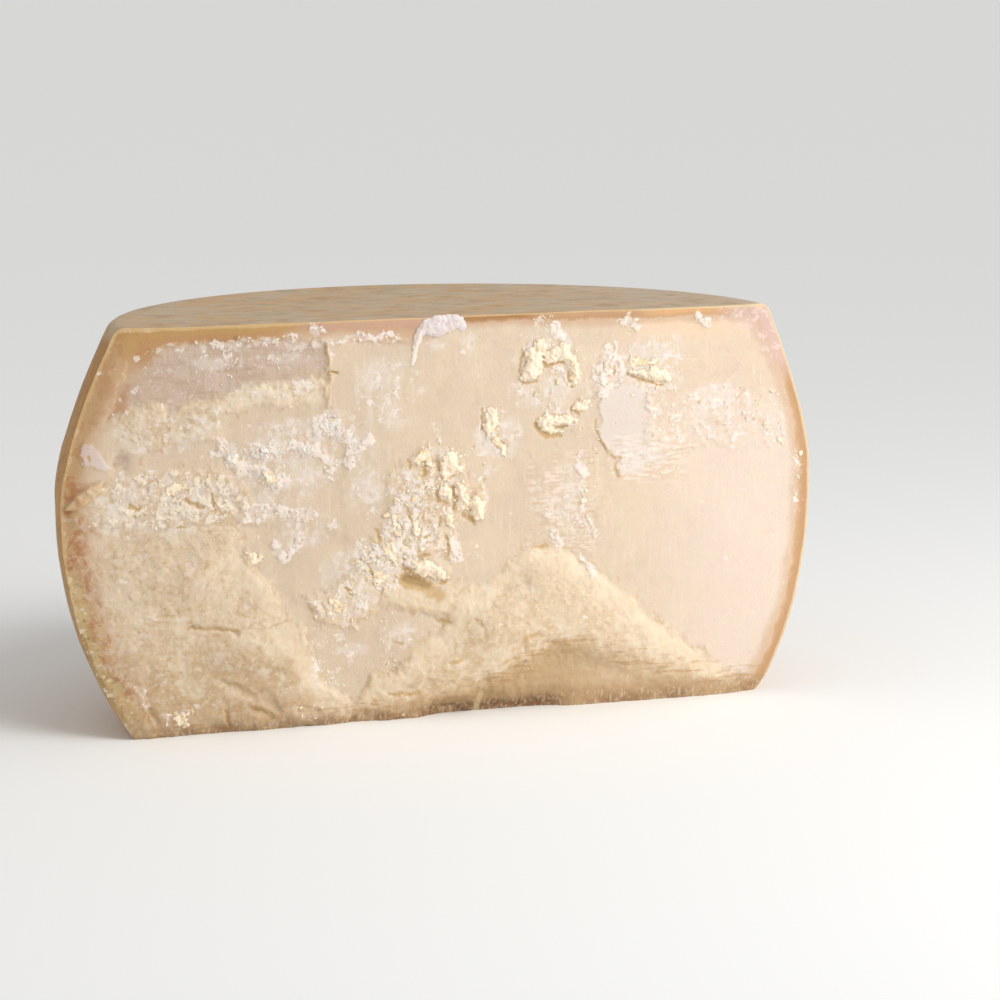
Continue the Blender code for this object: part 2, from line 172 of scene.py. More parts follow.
class Noise:
    """Smooth random waves, rounded lumps and flat chips over a plane, the same each run."""

    CELLS = 128
    MIDDLES = (0.15, 0.85)
    LEVELS = (-0.5, 0.5)
    WAVE_HEIGHT = 1.45
    LAYER_SHIFT = 17.3
    LUMP_REACH = 0.75
    FAR_OFF = 9.0

    def __init__(self, seed: int) -> None:
        """Draws the noise's slopes, places and levels from a seed."""
        random = np.random.default_rng(seed)
        grid = (self.CELLS, self.CELLS)
        turn = random.uniform(0.0, FULL_TURN, grid)
        self.slope_x = np.cos(turn)
        self.slope_y = np.sin(turn)
        self.place_x = random.uniform(*self.MIDDLES, grid)
        self.place_y = random.uniform(*self.MIDDLES, grid)
        self.level = random.uniform(*self.LEVELS, grid)

    def wave(self, x: Array, y: Array) -> Array:
        """One layer of gradient noise, about -1 to 1, with features one unit wide."""
        column = np.floor(x).astype(int)
        row = np.floor(y).astype(int)
        along = x - column
        over = y - row
        corners = []
        for step_x, step_y in ((0, 0), (1, 0), (0, 1), (1, 1)):
            at = (column + step_x) % self.CELLS, (row + step_y) % self.CELLS
            corners.append(self.slope_x[at] * (along - step_x) + self.slope_y[at] * (over - step_y))
        ease_x = eased(along)
        ease_y = eased(over)
        low = corners[0] * (1.0 - ease_x) + corners[1] * ease_x
        high = corners[2] * (1.0 - ease_x) + corners[3] * ease_x
        return self.WAVE_HEIGHT * (low * (1.0 - ease_y) + high * ease_y)

    def rough(self, u: Array, v: Array, size: float, layers: int = 3, keep: float = 0.5) -> Array:
        """Waves of one size with finer ones on top.

        Args:
            u: places across, in mm.
            v: places up, in mm.
            size: width of the broadest waves, in mm.
            layers: how many sizes are added, each half the last.
            keep: height of each finer layer as a share of the last.

        Returns:
            The sum, about -1.5 to 1.5.
        """
        total = np.zeros_like(u)
        share = 1.0
        for layer_number in range(layers):
            shift = self.LAYER_SHIFT * layer_number
            total += share * self.wave(u / size + shift, v / size - shift)
            size *= 0.5
            share *= keep
        return total

    def cells(self, u: Array, v: Array, size: float) -> tuple[Array, Array]:
        """Finds the random cell that each place falls in.

        Args:
            u: places across, in mm.
            v: places up, in mm.
            size: width of the cells, in mm.

        Returns:
            The squared distance to the cell's middle in cells, and the height of a tilted chip
            that fills the cell, about -1 to 1.
        """
        x = u / size
        y = v / size
        column = np.floor(x).astype(int)
        row = np.floor(y).astype(int)
        nearest = np.full_like(x, self.FAR_OFF)
        chip = np.zeros_like(x)
        for step in range(9):
            step_x = step // 3 - 1
            step_y = step % 3 - 1
            at = (column + step_x) % self.CELLS, (row + step_y) % self.CELLS
            gap_x = column + step_x + self.place_x[at] - x
            gap_y = row + step_y + self.place_y[at] - y
            distance = gap_x**2 + gap_y**2
            tilted = self.level[at] + self.slope_x[at] * gap_x + self.slope_y[at] * gap_y
            chip = np.where(distance < nearest, tilted, chip)
            nearest = np.minimum(nearest, distance)
        return nearest, chip

    def lumps(self, u: Array, v: Array, size: float) -> Array:
        """Rounded grains of the given size in mm: 1 at a grain's crown, 0 in the creases."""
        return np.clip(1.0 - self.cells(u, v, size)[0] / self.LUMP_REACH, 0.0, 1.0)

    def chips(self, u: Array, v: Array, size: float) -> Array:
        """Flat tilted chips of the given size in mm, as granular paste breaks; about -1 to 1."""
        return self.cells(u, v, size)[1]


BROAD = Noise(11)
CRAGS = Noise(23)
GRAINS = Noise(37)
PITS = Noise(53)


@dataclass(frozen=True)
class Waves:
    """Waves over the face: height and broadest width in mm, finer sizes, and how they are squeezed."""

    noise: Noise
    height: float
    size: float
    layers: int = 3
    keep: float = 0.5
    squeeze: float = 1.0

    def over(self, u: Array, v: Array) -> Array:
        """Their height at each face place."""
        return self.height * self.noise.rough(u, v * self.squeeze, self.size, self.layers, self.keep)


@dataclass(frozen=True)
class Fray:
    """How far an outline frays and its broadest frays' width, in mm, and how many sizes there are."""

    reach: float
    size: float
    layers: int = 3
    keep: float = 0.5


# How far apart the waves lie, in mm, that shift places across and up
APART = 311.0


def ragged(u: Array, v: Array, fray: Fray) -> tuple[Array, Array]:
    """Shifts face places about, so that an outline drawn on them frays."""
    shift_u = CRAGS.rough(u, v, fray.size, fray.layers, fray.keep)
    shift_v = CRAGS.rough(v + APART, u, fray.size, fray.layers, fray.keep)
    return u + fray.reach * shift_u, v + fray.reach * shift_v


class Look(Enum):
    """Finishes that a part of the broken face can have."""

    CUT = "cut"
    BROKEN = "broken"
    GREY = "grey"
    PALE = "pale"
    GOLDEN = "golden"


MAPPED_LOOKS = (Look.BROKEN, Look.GREY, Look.PALE, Look.GOLDEN)


@dataclass(frozen=True)
class Zone:
    """A part of the face with its own level, in mm in front of the knife-cut plane."""

    outline: list[Point]
    level: float
    step: float
    chips: float = 0.0
    crumbs: float = 0.0
    fray: float = 2.0
    look: Look = Look.CUT


@dataclass(frozen=True)
class Mound:
    """A body of broken paste that stands on the face; heights and widths in mm."""

    outline: list[Point]
    rim: float
    crown: float
    step: float


@dataclass(frozen=True)
class Line:
    """A bump or a groove along a line of the face, with its half width and height in mm."""

    points: list[Point]
    half_width: float
    crown: float


def lines(*rows: tuple[float, ...]) -> list[Line]:
    """Lines from rows: the half width and the height, then places across and up in turn."""
    return [Line(path(*places), half_width, crown) for half_width, crown, *places in rows]


@dataclass(frozen=True)
class Band:
    """Width in mm of a band beside the rind, at heights up the sides and places along the top."""

    left: dict[float, float]
    right: dict[float, float]
    top: dict[float, float]


SCRAPED_HOLLOW = path(
    -190, 216, -185, 219, -180, 221, -172, 222, -165, 224, -160, 222, -152, 225, -140, 226, -128, 227,
    -118, 224, -108, 225, -92, 226, -88, 224, -76, 224, -75, 208, -73, 205, -76, 202, -85, 203, -97, 199,
    -120, 199, -128, 197, -140, 192, -150, 191, -157, 190, -161, 187, -168, 184, -172, 190, -186, 190,
    -195, 186, -203, 183, -200, 190, -195, 198, -192, 207,
)
UPPER_RIDGE = path(
    -197, 186, -186, 190, -172, 191, -168, 184, -161, 187, -157, 190, -145, 193, -140, 192, -128, 197,
    -120, 199, -97, 199, -85, 203, -74, 202, -75, 192, -82, 188, -100, 187, -112, 188, -125, 186,
    -135, 180, -140, 172, -150, 170, -165, 169, -178, 166, -186, 158, -193, 166, -197, 175,
)
SMOOTH_LENS = path(
    -183, 157, -178, 165, -165, 168, -150, 170, -140, 169, -136, 163, -141, 153, -150, 152, -160, 155,
    -175, 153,
)
LEFT_FLAT = path(
    -136, 178, -125, 185, -110, 187, -82, 187, -76, 190, -70, 175, -66, 165, -66, 128, -90, 122,
    -120, 124, -122, 140, -135, 152, -138, 165,
)
CRAG_BAND = path(
    -226, 136, -205, 150, -195, 153, -186, 156, -176, 153, -165, 154, -155, 155, -148, 151, -135, 151,
    -130, 143, -120, 140, -118, 133, -128, 124, -140, 122, -160, 121, -175, 118, -195, 116, -203, 119,
    -215, 122, -222, 126,
)
CRAG_FACET = path(-207, 123, -207, 131, -198, 134, -192, 133, -192, 123)
ROUND_HOLLOW = path(-198, 164, -195, 166, -191, 163, -190, 157, -193, 152, -199, 152, -200, 158)
FLAT_HOLLOW = path(
    -127, 120, -110, 123, -90, 118, -66, 112, -62, 100, -70, 86, -90, 76, -78, 58, -48, 60, -40, 44,
    -42, 30, -56, 26, -66, 14, -84, 12, -112, 92,
)
CRUMB_BED = path(
    -8, 162, -20, 160, -30, 150, -42, 142, -38, 132, -40, 118, -48, 108, -50, 100, -56, 96, -62, 88,
    -70, 84, -80, 78, -90, 74, -84, 66, -76, 58, -62, 56, -52, 62, -42, 74, -30, 80, -24, 96, -10, 98,
    -2, 88, 2, 98, -1, 118, -6, 126, 6, 126, 18, 118, 18, 132, 8, 140, 4, 156,
)
BED_FOOT = path(-42, 80, -30, 82, -6, 80, 4, 78, 0, 62, -12, 61, -34, 66, -44, 70)
GREY_SHELF = path(
    -38, 38, -42, 50, -40, 58, -33, 64, -20, 62, -12, 60, -5, 57, -8, 50, -20, 46, -28, 40, -33, 36,
)
PALE_LEAF = path(
    95, 187, 90, 180, 91, 170, 88, 165, 90, 160, 94, 153, 97, 149, 102, 147, 103, 143, 100, 140, 102, 134,
    110, 137, 118, 142, 128, 144, 138, 148, 150, 151, 158, 152, 152, 157, 135, 156, 125, 160, 122, 170,
    123, 182, 118, 190, 105, 190,
)
LEAF_SPREAD = path(
    120, 190, 135, 187, 140, 181, 160, 187, 180, 181, 205, 170, 208, 150, 190, 148, 160, 152, 135, 155,
    122, 160,
)
RIPPLED_PATCH = path(48, 150, 56, 116, 68, 98, 86, 84, 96, 100, 94, 132, 86, 154, 60, 156)
WAXY_CHIP = path(-215, 173, -217, 166, -214, 158, -201, 156, -206, 163, -210, 169)
LEFT_CHIP = path(-228, 134, -222, 141, -214, 146, -206, 150, -207, 143, -215, 138, -222, 134)
EDGE_CHIP = path(-228, 93, -219, 92, -217, 82, -224, 80)
CORNER_PIECE = path(
    -207, 34, -200, 33, -192, 30, -186, 25, -184, 19, -187, 12, -187, 3, -200, 3, -212, 30,
)
LEFT_MOUND = path(
    -250, 104, -222, 104, -210, 106, -195, 113, -180, 116, -165, 118, -160, 121, -140, 122, -130, 121,
    -126, 117, -127, 108, -124, 100, -120, 96, -113, 92, -109, 88, -106, 78, -103, 68, -97, 62, -91, 57,
    -89, 50, -85, 44, -82, 36, -80, 28, -72, 21, -66, 15, -58, 8, -58, -20, -250, -20,
)
MIDDLE_MOUND = path(
    -62, 10, -56, 20, -52, 26, -45, 28, -38, 30, -30, 36, -26, 42, -18, 47, -10, 52, -6, 58, -4, 66,
    0, 73, 8, 76, 18, 80, 26, 84, 32, 90, 40, 94, 45, 98, 52, 99, 60, 98, 68, 96, 74, 92, 82, 86, 92, 80,
    104, 70, 118, 56, 142, 38, 182, 6, 182, -20, -62, -20,
)

ZONES = [
    Zone(LEFT_FLAT, -0.9, 9.0, fray=3.0),
    Zone(FLAT_HOLLOW, -1.2, 16.0, fray=4.0),
    Zone(SCRAPED_HOLLOW, -1.2, 3.0, 0.2, 0.15, 2.2, Look.GREY),
    Zone(UPPER_RIDGE, 0.3, 5.0, 0.45, 0.3, 3.5, Look.BROKEN),
    Zone(SMOOTH_LENS, -0.6, 3.5, fray=1.2),
    Zone(ROUND_HOLLOW, -1.6, 5.0, fray=1.0, look=Look.GREY),
    Zone(CRAG_BAND, 0.4, 6.0, 0.5, 0.4, 4.0, Look.BROKEN),
    Zone(CRAG_FACET, 0.6, 1.6, fray=0.8),
    Zone(CRUMB_BED, 0.5, 5.0, 0.3, 0.45, 3.5, Look.BROKEN),
    Zone(BED_FOOT, 0.9, 4.0, 0.4, 0.4, 2.5, Look.BROKEN),
    Zone(GREY_SHELF, -0.4, 2.0, 0.1, 0.1, 2.0),
    Zone(LEAF_SPREAD, 0.3, 3.0, 0.08, 0.06, 3.0),
    Zone(RIPPLED_PATCH, 0.15, 5.0, 0.1, 0.25, 3.0),
    Zone(PALE_LEAF, 0.6, 1.4, 0.05, 0.0, 1.6, Look.PALE),
    Zone(WAXY_CHIP, 0.5, 0.8, 0.1, 0.0, 1.8, Look.PALE),
    Zone(LEFT_CHIP, 2.4, 1.4, 0.3, 0.0, 1.0, Look.GOLDEN),
    Zone(EDGE_CHIP, 1.2, 1.6, 0.3, 0.3, 1.0, Look.GOLDEN),
    Zone(CORNER_PIECE, 2.0, 1.8, 0.4, 0.3, 1.2, Look.GOLDEN),
]

MOUNDS = [Mound(LEFT_MOUND, 1.2, 3.8, 6.0), Mound(MIDDLE_MOUND, 1.1, 4.2, 6.0)]

# Broad rises on the mounds: middle across and up, half across and half up, and height, in mm
SWELLS = (
    (-168, 92, 46, 24, 2.4), (-116, 84, 16, 26, 1.8), (-122, 46, 32, 15, 3.2), (-182, 44, 24, 16, 1.6),
    (-96, 26, 20, 18, 2.6), (18, 56, 44, 17, 2.6), (54, 84, 28, 14, 2.0), (-30, 27, 26, 11, 1.8),
    (112, 34, 38, 20, 2.4),
)

# Low rises under the flakes and curls, and thin raised edges
RAISED_LINES = lines(
    (5, 1.6, -24, 90, -14, 91, -6, 84), (4.5, 1.1, -6, 152, 2, 148), (3.5, 1, 4, 136, 8, 126),
    (4, 1.1, 14, 130, 15, 119), (4.5, 0.8, 47, 198, 48, 212),
    (3.5, 0.7, 52, 216, 62, 214, 70, 208, 75, 194), (3.4, 0.7, 24, 178, 22, 170, 25, 163),
    (4, 0.7, 54, 170, 72, 169), (3.5, 0.7, 90, 186, 94, 206), (3, 0.7, 108, 199, 120, 198, 130, 193),
    (4.5, 0.7, -136, 163, -128, 155), (3.5, 0.7, -120, 163, -108, 160, -98, 163, -78, 160),
    (4.5, 0.7, -116, 152, -106, 143), (5, 0.7, -80, 170, -68, 178),
    (2, 0.5, -118, 124, -96, 127, -88, 121), (2.4, 1.1, -124, 104, -120, 98, -115, 101),
    (2.4, 0.25, 52, 122, 62, 112, 70, 103, 80, 94), (1.6, 0.6, 104, 148, 118, 150, 150, 152),
    (1.4, 0.6, 89, 160, 94, 152, 101, 147), (1.8, 0.9, -74, 187, -73, 203),
    (1.6, 0.9, -74, 207, -74, 221), (1.6, 0.6, -74, 221, -60, 222, -45, 224, -28, 221),
    (2, 0.5, -187, 8, -184, 18, -188, 26, -197, 32), (2.4, 0.7, -128, 120, -108, 122),
    (2, 0.6, 145, 178, 156, 179), (3.4, 0.5, 151, 158, 160, 158),
    *((1.1, 0.6, 118, 158 + 4.5 * step, 123, 157.6 + 4.5 * step) for step in range(8)),
)

# Folds and cracks in the broken paste; their heights are depths
CRACKS = lines(
    (2.4, 1.6, -158, 63, -150, 62, -142, 62, -131, 58), (1.6, 0.8, -127, 60, -114, 64),
    (3, 0.9, -176, 71, -166, 71), (3, 1.6, -140, 30, -130, 26, -121, 20), (4, 1.6, -118, 22, -108, 12),
    (3, 1.2, 42, 38, 50, 38, 58, 41), (2.2, 1, -4, 32, 4, 34), (2.2, 0.6, 12, 56, 16, 52, 17, 47),
    (2.6, 0.7, -10, 57, -3, 55), (2.4, 1.6, -182, 17, -178, 8), (1.8, 1.4, -138, 14, -136, 4),
    (3.4, 2, -122, 13, -112, 9), (3.2, 1.4, -96, 11, -84, 9), (1.4, 0.6, -172, 48, -175, 38),
    (1.6, 0.7, -8, 14, 20, 20, 42, 30),
)

# Nooks beside and under the flakes, sunk a little and painted golden as their shade; their heights are
# depths
NOOKS = lines(
    (1.4, 1, -158, 137, -154, 134, -148, 131), (1.2, 1, -143, 140, -142, 128),
    (1.5, 0.9, -191, 134, -186, 133), (1.2, 0.7, -164, 121, -158, 121),
    (5.2, 1.6, -29, 83, -23, 81, -17, 79), (6.2, 0.6, -24, 81, -17, 77, -9, 72),
    (1.2, 0.8, -213.5, 164, -212.5, 161), (1.8, 1.3, -183, 17, -183, 11), (1.5, 1, -138, 13, -136, 5),
    (2.4, 1.5, -121, 13, -114, 10), (1, 0.8, -157, 62.5, -147, 61.5, -141, 61.5, -132, 58.5),
    (1.2, 0.4, -175, 71, -167, 71), (1.2, 0.5, -74.5, 221, -74, 212, -73, 206, -73.5, 198, -74, 190),
    (2, 0.6, -9, 57, -3, 56), (1, 0.7, 12, 57, 15, 56, 17, 52), (1.5, 0.8, -40, 16, -30, 15, -22, 16),
    (1.6, 0.8, -4, 32, 3, 33), (1.2, 0.7, -36, 46, -32, 44), (2.4, 0.6, 41, 43, 50, 46),
    (1.2, 0.6, 50, 97, 57, 97), (2, 0.4, 25, 68, 30, 70), (1.6, 0.6, 28, 30, 38, 33),
    (1.2, 0.6, 46, 34, 47, 30), (1.8, 0.9, -120, 99, -117, 101), (1, 0.5, -111, 60, -100, 63),
    (1.4, 0.9, -8, 79, -4, 80), (1.2, 1.6, -72, 206, -68, 205), (1.3, 0.8, 43, 211, 41.5, 205, 41, 200),
    (1.4, 0.8, 43, 194.5, 51, 194.5), (1.3, 1, 56, 208, 56, 204, 61, 204.5, 67, 205.5),
    (1.3, 0.8, 71, 199, 71.5, 193, 74, 190.5), (1.7, 0.9, 50, 170, 53, 165, 57, 162.5, 66, 162),
    (1, 1.2, 63, 167, 70, 167), (1.1, 0.8, 73, 179, 73, 176, 77, 174.5),
    (1.3, 0.9, 107, 196.5, 113, 194, 119, 191.5, 130, 189.5), (1, 0.7, 109, 202, 112, 201.5),
    (1, 0.7, 92, 204, 92, 199), (1, 0.7, 99, 201, 99, 197), (1.3, 0.8, 18.5, 180, 17.8, 174, 18, 168),
    (1.2, 1.2, 23, 171, 22.5, 167), (1.4, 0.9, 23, 162, 25, 160), (1.1, 0.7, 30, 160, 33, 158),
    (2, 1.2, -18, 151, -17.5, 143), (1.5, 1.1, -10, 150, -9, 145), (1, 0.8, -4.5, 154, -4.5, 148),
    (1.4, 0.8, -26, 152, -26, 148), (1.6, 1, -10, 135, -9.5, 128, -5, 126.5),
    (1.7, 1.2, 0, 136, 0.4, 130, 0.6, 122), (2.2, 0.9, 6, 119, 9, 117, 13, 113.5),
    (1.3, 0.8, -8, 118, -8, 113), (1.4, 0.8, -4, 107, -3, 101, -3, 95), (1.4, 0.9, -22, 109, -21, 105),
    (1, 0.8, -18, 107, -14, 108), (1.6, 0.9, -28, 123, -26, 118), (1.5, 0.9, -34, 117, -32, 113),
    (1.2, 0.8, -30, 106, -29, 101), (1.2, 0.8, -31, 98, -30, 94), (1.3, 0.9, -31, 91, -25, 86),
    (1.2, 0.8, -20, 96, -15, 97), (1.4, 0.8, -52, 93, -49, 86), (1.4, 0.8, -46, 112, -44, 104),
    (1.2, 0.7, -65, 80, -62, 76), (1.2, 0.7, -80, 72, -77, 66),
    (1.4, 0.6, 87.5, 171, 87, 165, 90, 160, 93.5, 153, 98, 149, 102, 147),
    (1.4, 0.6, 100, 145, 100, 141, 102, 136),
)

EDGE_LINE = Band(
    {0: 14, 8: 15, 32: 13, 38: 7, 80: 8, 92: 8, 97: 2.0, 150: 2.2, 235: 2.6},
    {0: 1.6, 235: 1.6},
    {-200: 2.6, -90: 2.6, -80: 1.6, 60: 1.2, 120: 1.6, 200: 2.2},
)
AMBER_BAND = Band(
    {0: 24, 40: 24, 95: 20, 150: 17, 175: 17, 190: 24, 215: 30, 235: 34},
    {0: 13, 60: 13, 150: 12, 190: 12, 205: 16, 235: 18},
    {-200: 12, -100: 10, -80: 13, -15: 13, 0: 8, 55: 7, 70: 10, 130: 9, 200: 12},
)

# Height of the upper border of the undercut foot, at places across, in mm
UNDERCUT_TOP = {
    -230: 8, -120: 11, -60: 11, -30: 12, -15: 17, 10: 21, 25: 26, 40: 34, 55: 42, 75: 46, 120: 30, 160: 16,
}

# White bloom smeared thinly on the face: middle across and up, half across and half up, in mm
VEILS = (
    (9, 217, 6, 12), (-9, 218, 9, 4), (88, 194, 9, 16), (-57, 178, 8, 22), (-48, 138, 9, 9),
    (-105, 133, 16, 5), (24, 145, 9, 4), (60, 198, 8, 6), (70, 122, 14, 16), (-84, 34, 4, 18),
    (112, 226, 9, 4), (198, 158, 9, 12), (-60, 42, 9, 6), (215, 128, 4, 18), (-30, 50, 10, 10),
    (165, 178, 30, 12), (-120, 214, 40, 6), (58, 200, 28, 28), (122, 204, 34, 24), (-38, 192, 26, 28),
    (28, 164, 18, 16), (112, 146, 20, 12), (-52, 140, 14, 30), (-98, 148, 30, 20), (-86, 114, 24, 12),
    (-96, 172, 30, 10), (-170, 176, 34, 16), (-180, 132, 46, 18), (-60, 84, 24, 26), (70, 128, 12, 26),
)

# Thin white flakes that lie along lines of the face; the height is how much they cover
SMEARS = lines(
    (1.8, 1, -106, 108, -104, 102, -101, 97), (1.8, 1, -98, 98, -96, 106, -90, 110),
    (1.6, 0.9, -80, 147, -71, 150), (1.2, 0.8, -79, 143, -71, 145),
    (2.4, 0.9, -62, 152, -59, 162, -50, 166),
    (4, 0.85, -120, 162, -108, 160, -98, 163, -84, 160, -76, 158),
    (4.5, 0.9, -116, 151, -108, 145, -104, 142), (3.6, 0.75, -122, 124, -108, 127, -92, 124, -86, 121),
    (6, 0.85, -82, 172, -72, 176, -66, 170), (4, 0.9, -138, 163, -128, 158, -126, 152),
    (2, 0.5, -150, 224, -128, 226, -108, 224, -92, 226), (1.6, 0.45, -188, 219, -172, 222, -160, 223),
    (4, 0.5, -120, 196, -100, 195, -84, 198), (1.8, 0.75, -74, 222, -60, 224, -45, 225, -30, 222),
    (1.6, 0.6, -100, 223, -88, 222, -76, 222), (1.6, 0.7, -12, 172, -9, 164),
    (7, 0.85, -40, 100, -30, 118, -26, 132), (2.2, 0.9, -1, 112, 0, 100, 2, 92),
    (2, 0.5, 40, 98, 52, 101, 66, 98), (1.2, 0.8, 13, 98, 15, 92), (1.2, 1, 62.7, 204, 71, 197),
    (2.2, 1, 62, 227, 65, 222, 69, 219, 71, 213), (1.8, 1, 88, 194, 89, 204), (1.8, 1, 92, 184, 92, 197),
    (1.8, 1, 94, 199, 95, 211), (1.8, 1, 99, 202, 101, 212), (1.8, 0.9, 103, 192, 105, 205),
    (1.6, 0.9, 60, 104, 68, 99), (1.6, 0.9, -186, 26, -184, 19), (1.4, 0.7, -205, 33, -192, 33),
    (2.4, 0.8, -173, 13, -160, 12), (1.5, 0.9, 80, 86, 86, 80), (3, 0.9, 106, 229, 112, 224),
    (2.4, 1, 152, 229, 157, 226), (2.2, 0.8, 78, 150, 80, 135), (2, 0.75, 79, 126, 77, 112, 86, 104),
)

# Dents of the rind, on the side and on the top
SIDE_DENTS = Waves(BROAD, 1.0, 38.0, 4, 0.55)
TOP_DENTS = Waves(CRAGS, 1.0, 34.0, 4)

# The faint waves of the knife-cut plane, and the streaks that the wire left
PLANE_WAVES = (
    Waves(BROAD, 1.2, 95.0, 2), Waves(CRAGS, 0.22, 26.0), Waves(GRAINS, 0.05, 2.6, 2, squeeze=0.12),
    Waves(GRAINS, 0.07, 4.0),
)
FLAKE_WAVES = Waves(GRAINS, 0.88, 7.5, 6, 0.72)
CHIP_WAVES = Waves(CRAGS, 0.6, 17.0, 4, 0.55)
CRUMB_WAVES = Waves(CRAGS, 0.35, 9.0, 3, 0.6)
PIT_WAVES = Waves(PITS, 1.0, 5.0, 2)
LINE_WAVES = Waves(CRAGS, 0.4, 15.0, 2)

# Chips and grains of broken paste: noise, size and depth in mm
CHIP_SIZES = ((BROAD, 23.0, 0.9), (CRAGS, 10.5, 0.75), (GRAINS, 4.7, 0.6), (PITS, 2.2, 0.45))
CRUMB_SIZES = ((CRAGS, 6.0, 0.5), (GRAINS, 3.2, 0.6), (PITS, 1.9, 0.4))

# How outlines fray; zones fray as mounds do, but with a reach of their own
VEIL_FRAY = Fray(2.5, 12.0, 4, 0.6)
FLAKE_FRAY = Fray(3.0, 10.0, 4, 0.6)
PATCH_FRAY = Fray(1.5, 4.0, 4, 0.7)
CHIP_FRAY = Fray(1.5, 6.5, 4, 0.6)
CRUMB_FRAY = Fray(1.0, 4.0, 3, 0.6)
MOUND_FRAY = Fray(2.6, 14.0, 5, 0.62)
RAISED_FRAY = Fray(1.8, 8.0, 4, 0.62)
GROOVE_FRAY = Fray(1.0, 6.0, 4, 0.62)
FOOT_FRAY = Fray(2.4, 14.0, 5, 0.55)
BED_FRAY = Fray(3.0, 10.0)


def new_mesh(name: str, points: Array, faces: list[Array]) -> Mesh:
    """Makes a mesh from arrays.

    Args:
        name: name of the mesh.
        points: one row of three coordinates in metres for each vertex.
        faces: arrays of vertex numbers, one row a face, each array with faces of one size.

    Returns:
        The mesh, shaded smooth.
    """
    counts = np.concatenate([np.full(len(group), group.shape[1]) for group in faces])
    corners = np.concatenate([group.ravel() for group in faces])
    mesh = bpy.data.meshes.new(name)
    mesh.vertices.add(len(points))
    mesh.vertices.foreach_set("co", points.astype(np.float32).ravel())
    mesh.loops.add(len(corners))
    mesh.loops.foreach_set("vertex_index", corners.astype(np.int32))
    mesh.polygons.add(len(counts))
    starts = np.concatenate(([0], np.cumsum(counts)[:-1]))
    mesh.polygons.foreach_set("loop_start", starts.astype(np.int32))
    mesh.update(calc_edges=True)
    mesh.shade_smooth()
    return mesh


def joined_rings(rings: int, sides: int, first: int = 0) -> list[Array]:
    """Faces of four corners that join each ring of vertices with the next.

    Args:
        rings: how many rings there are.
        sides: vertices in each ring.
        first: number of the first vertex of the first ring.

    Returns:
        An array for each pair of rings, with a row of vertex numbers for each face.
    """
    side = np.arange(sides)
    after = (side + 1) % sides
    wall = np.stack([side, after, sides + after, sides + side], axis=-1)
    return [first + ring * sides + wall for ring in range(rings - 1)]


def vertex_array(mesh: Mesh) -> Array:
    """The places of a mesh's vertices, one row of three each."""
    places = np.empty(len(mesh.vertices) * 3, np.float32)
    mesh.vertices.foreach_get("co", places)
    return places.reshape(-1, 3).astype(float)


def write_values(mesh: Mesh, name: str, values: Array) -> None:
    """Stores one number a vertex under a name that a material can read."""
    attribute = mesh.attributes.new(name, "FLOAT", "POINT")
    attribute.data.foreach_set("value", values.astype(np.float32))


def link_object(name: str, mesh: Mesh) -> bpy.types.Object:
    """Puts a mesh into the scene as an object."""
    made = bpy.data.objects.new(name, mesh)
    bpy.context.collection.objects.link(made)
    return made


def show_piece(name: str, mesh: Mesh) -> bpy.types.Object:
    """Puts a mesh into the scene as a piece of the cheese."""
    piece = link_object(name, mesh)
    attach(piece, BODY)
    LOG.info("%s: %d faces", name, len(mesh.polygons))
    return piece


def modified(mesh: Mesh, kind: str, settings: dict[str, object]) -> Mesh:
    """Runs a modifier over a mesh.

    Args:
        mesh: the mesh, which stays as it is.
        kind: the modifier's type, such as DECIMATE.
        settings: the modifier's property values by name.

    Returns:
        The mesh that the modifier leaves.
    """
    made = link_object(mesh.name, mesh)
    modifier = made.modifiers.new(kind, kind)
    for name, value in settings.items():
        setattr(modifier, name, value)
    graph = bpy.context.evaluated_depsgraph_get()
    changed = bpy.data.meshes.new_from_object(made.evaluated_get(graph))
    bpy.data.objects.remove(made)
    return changed


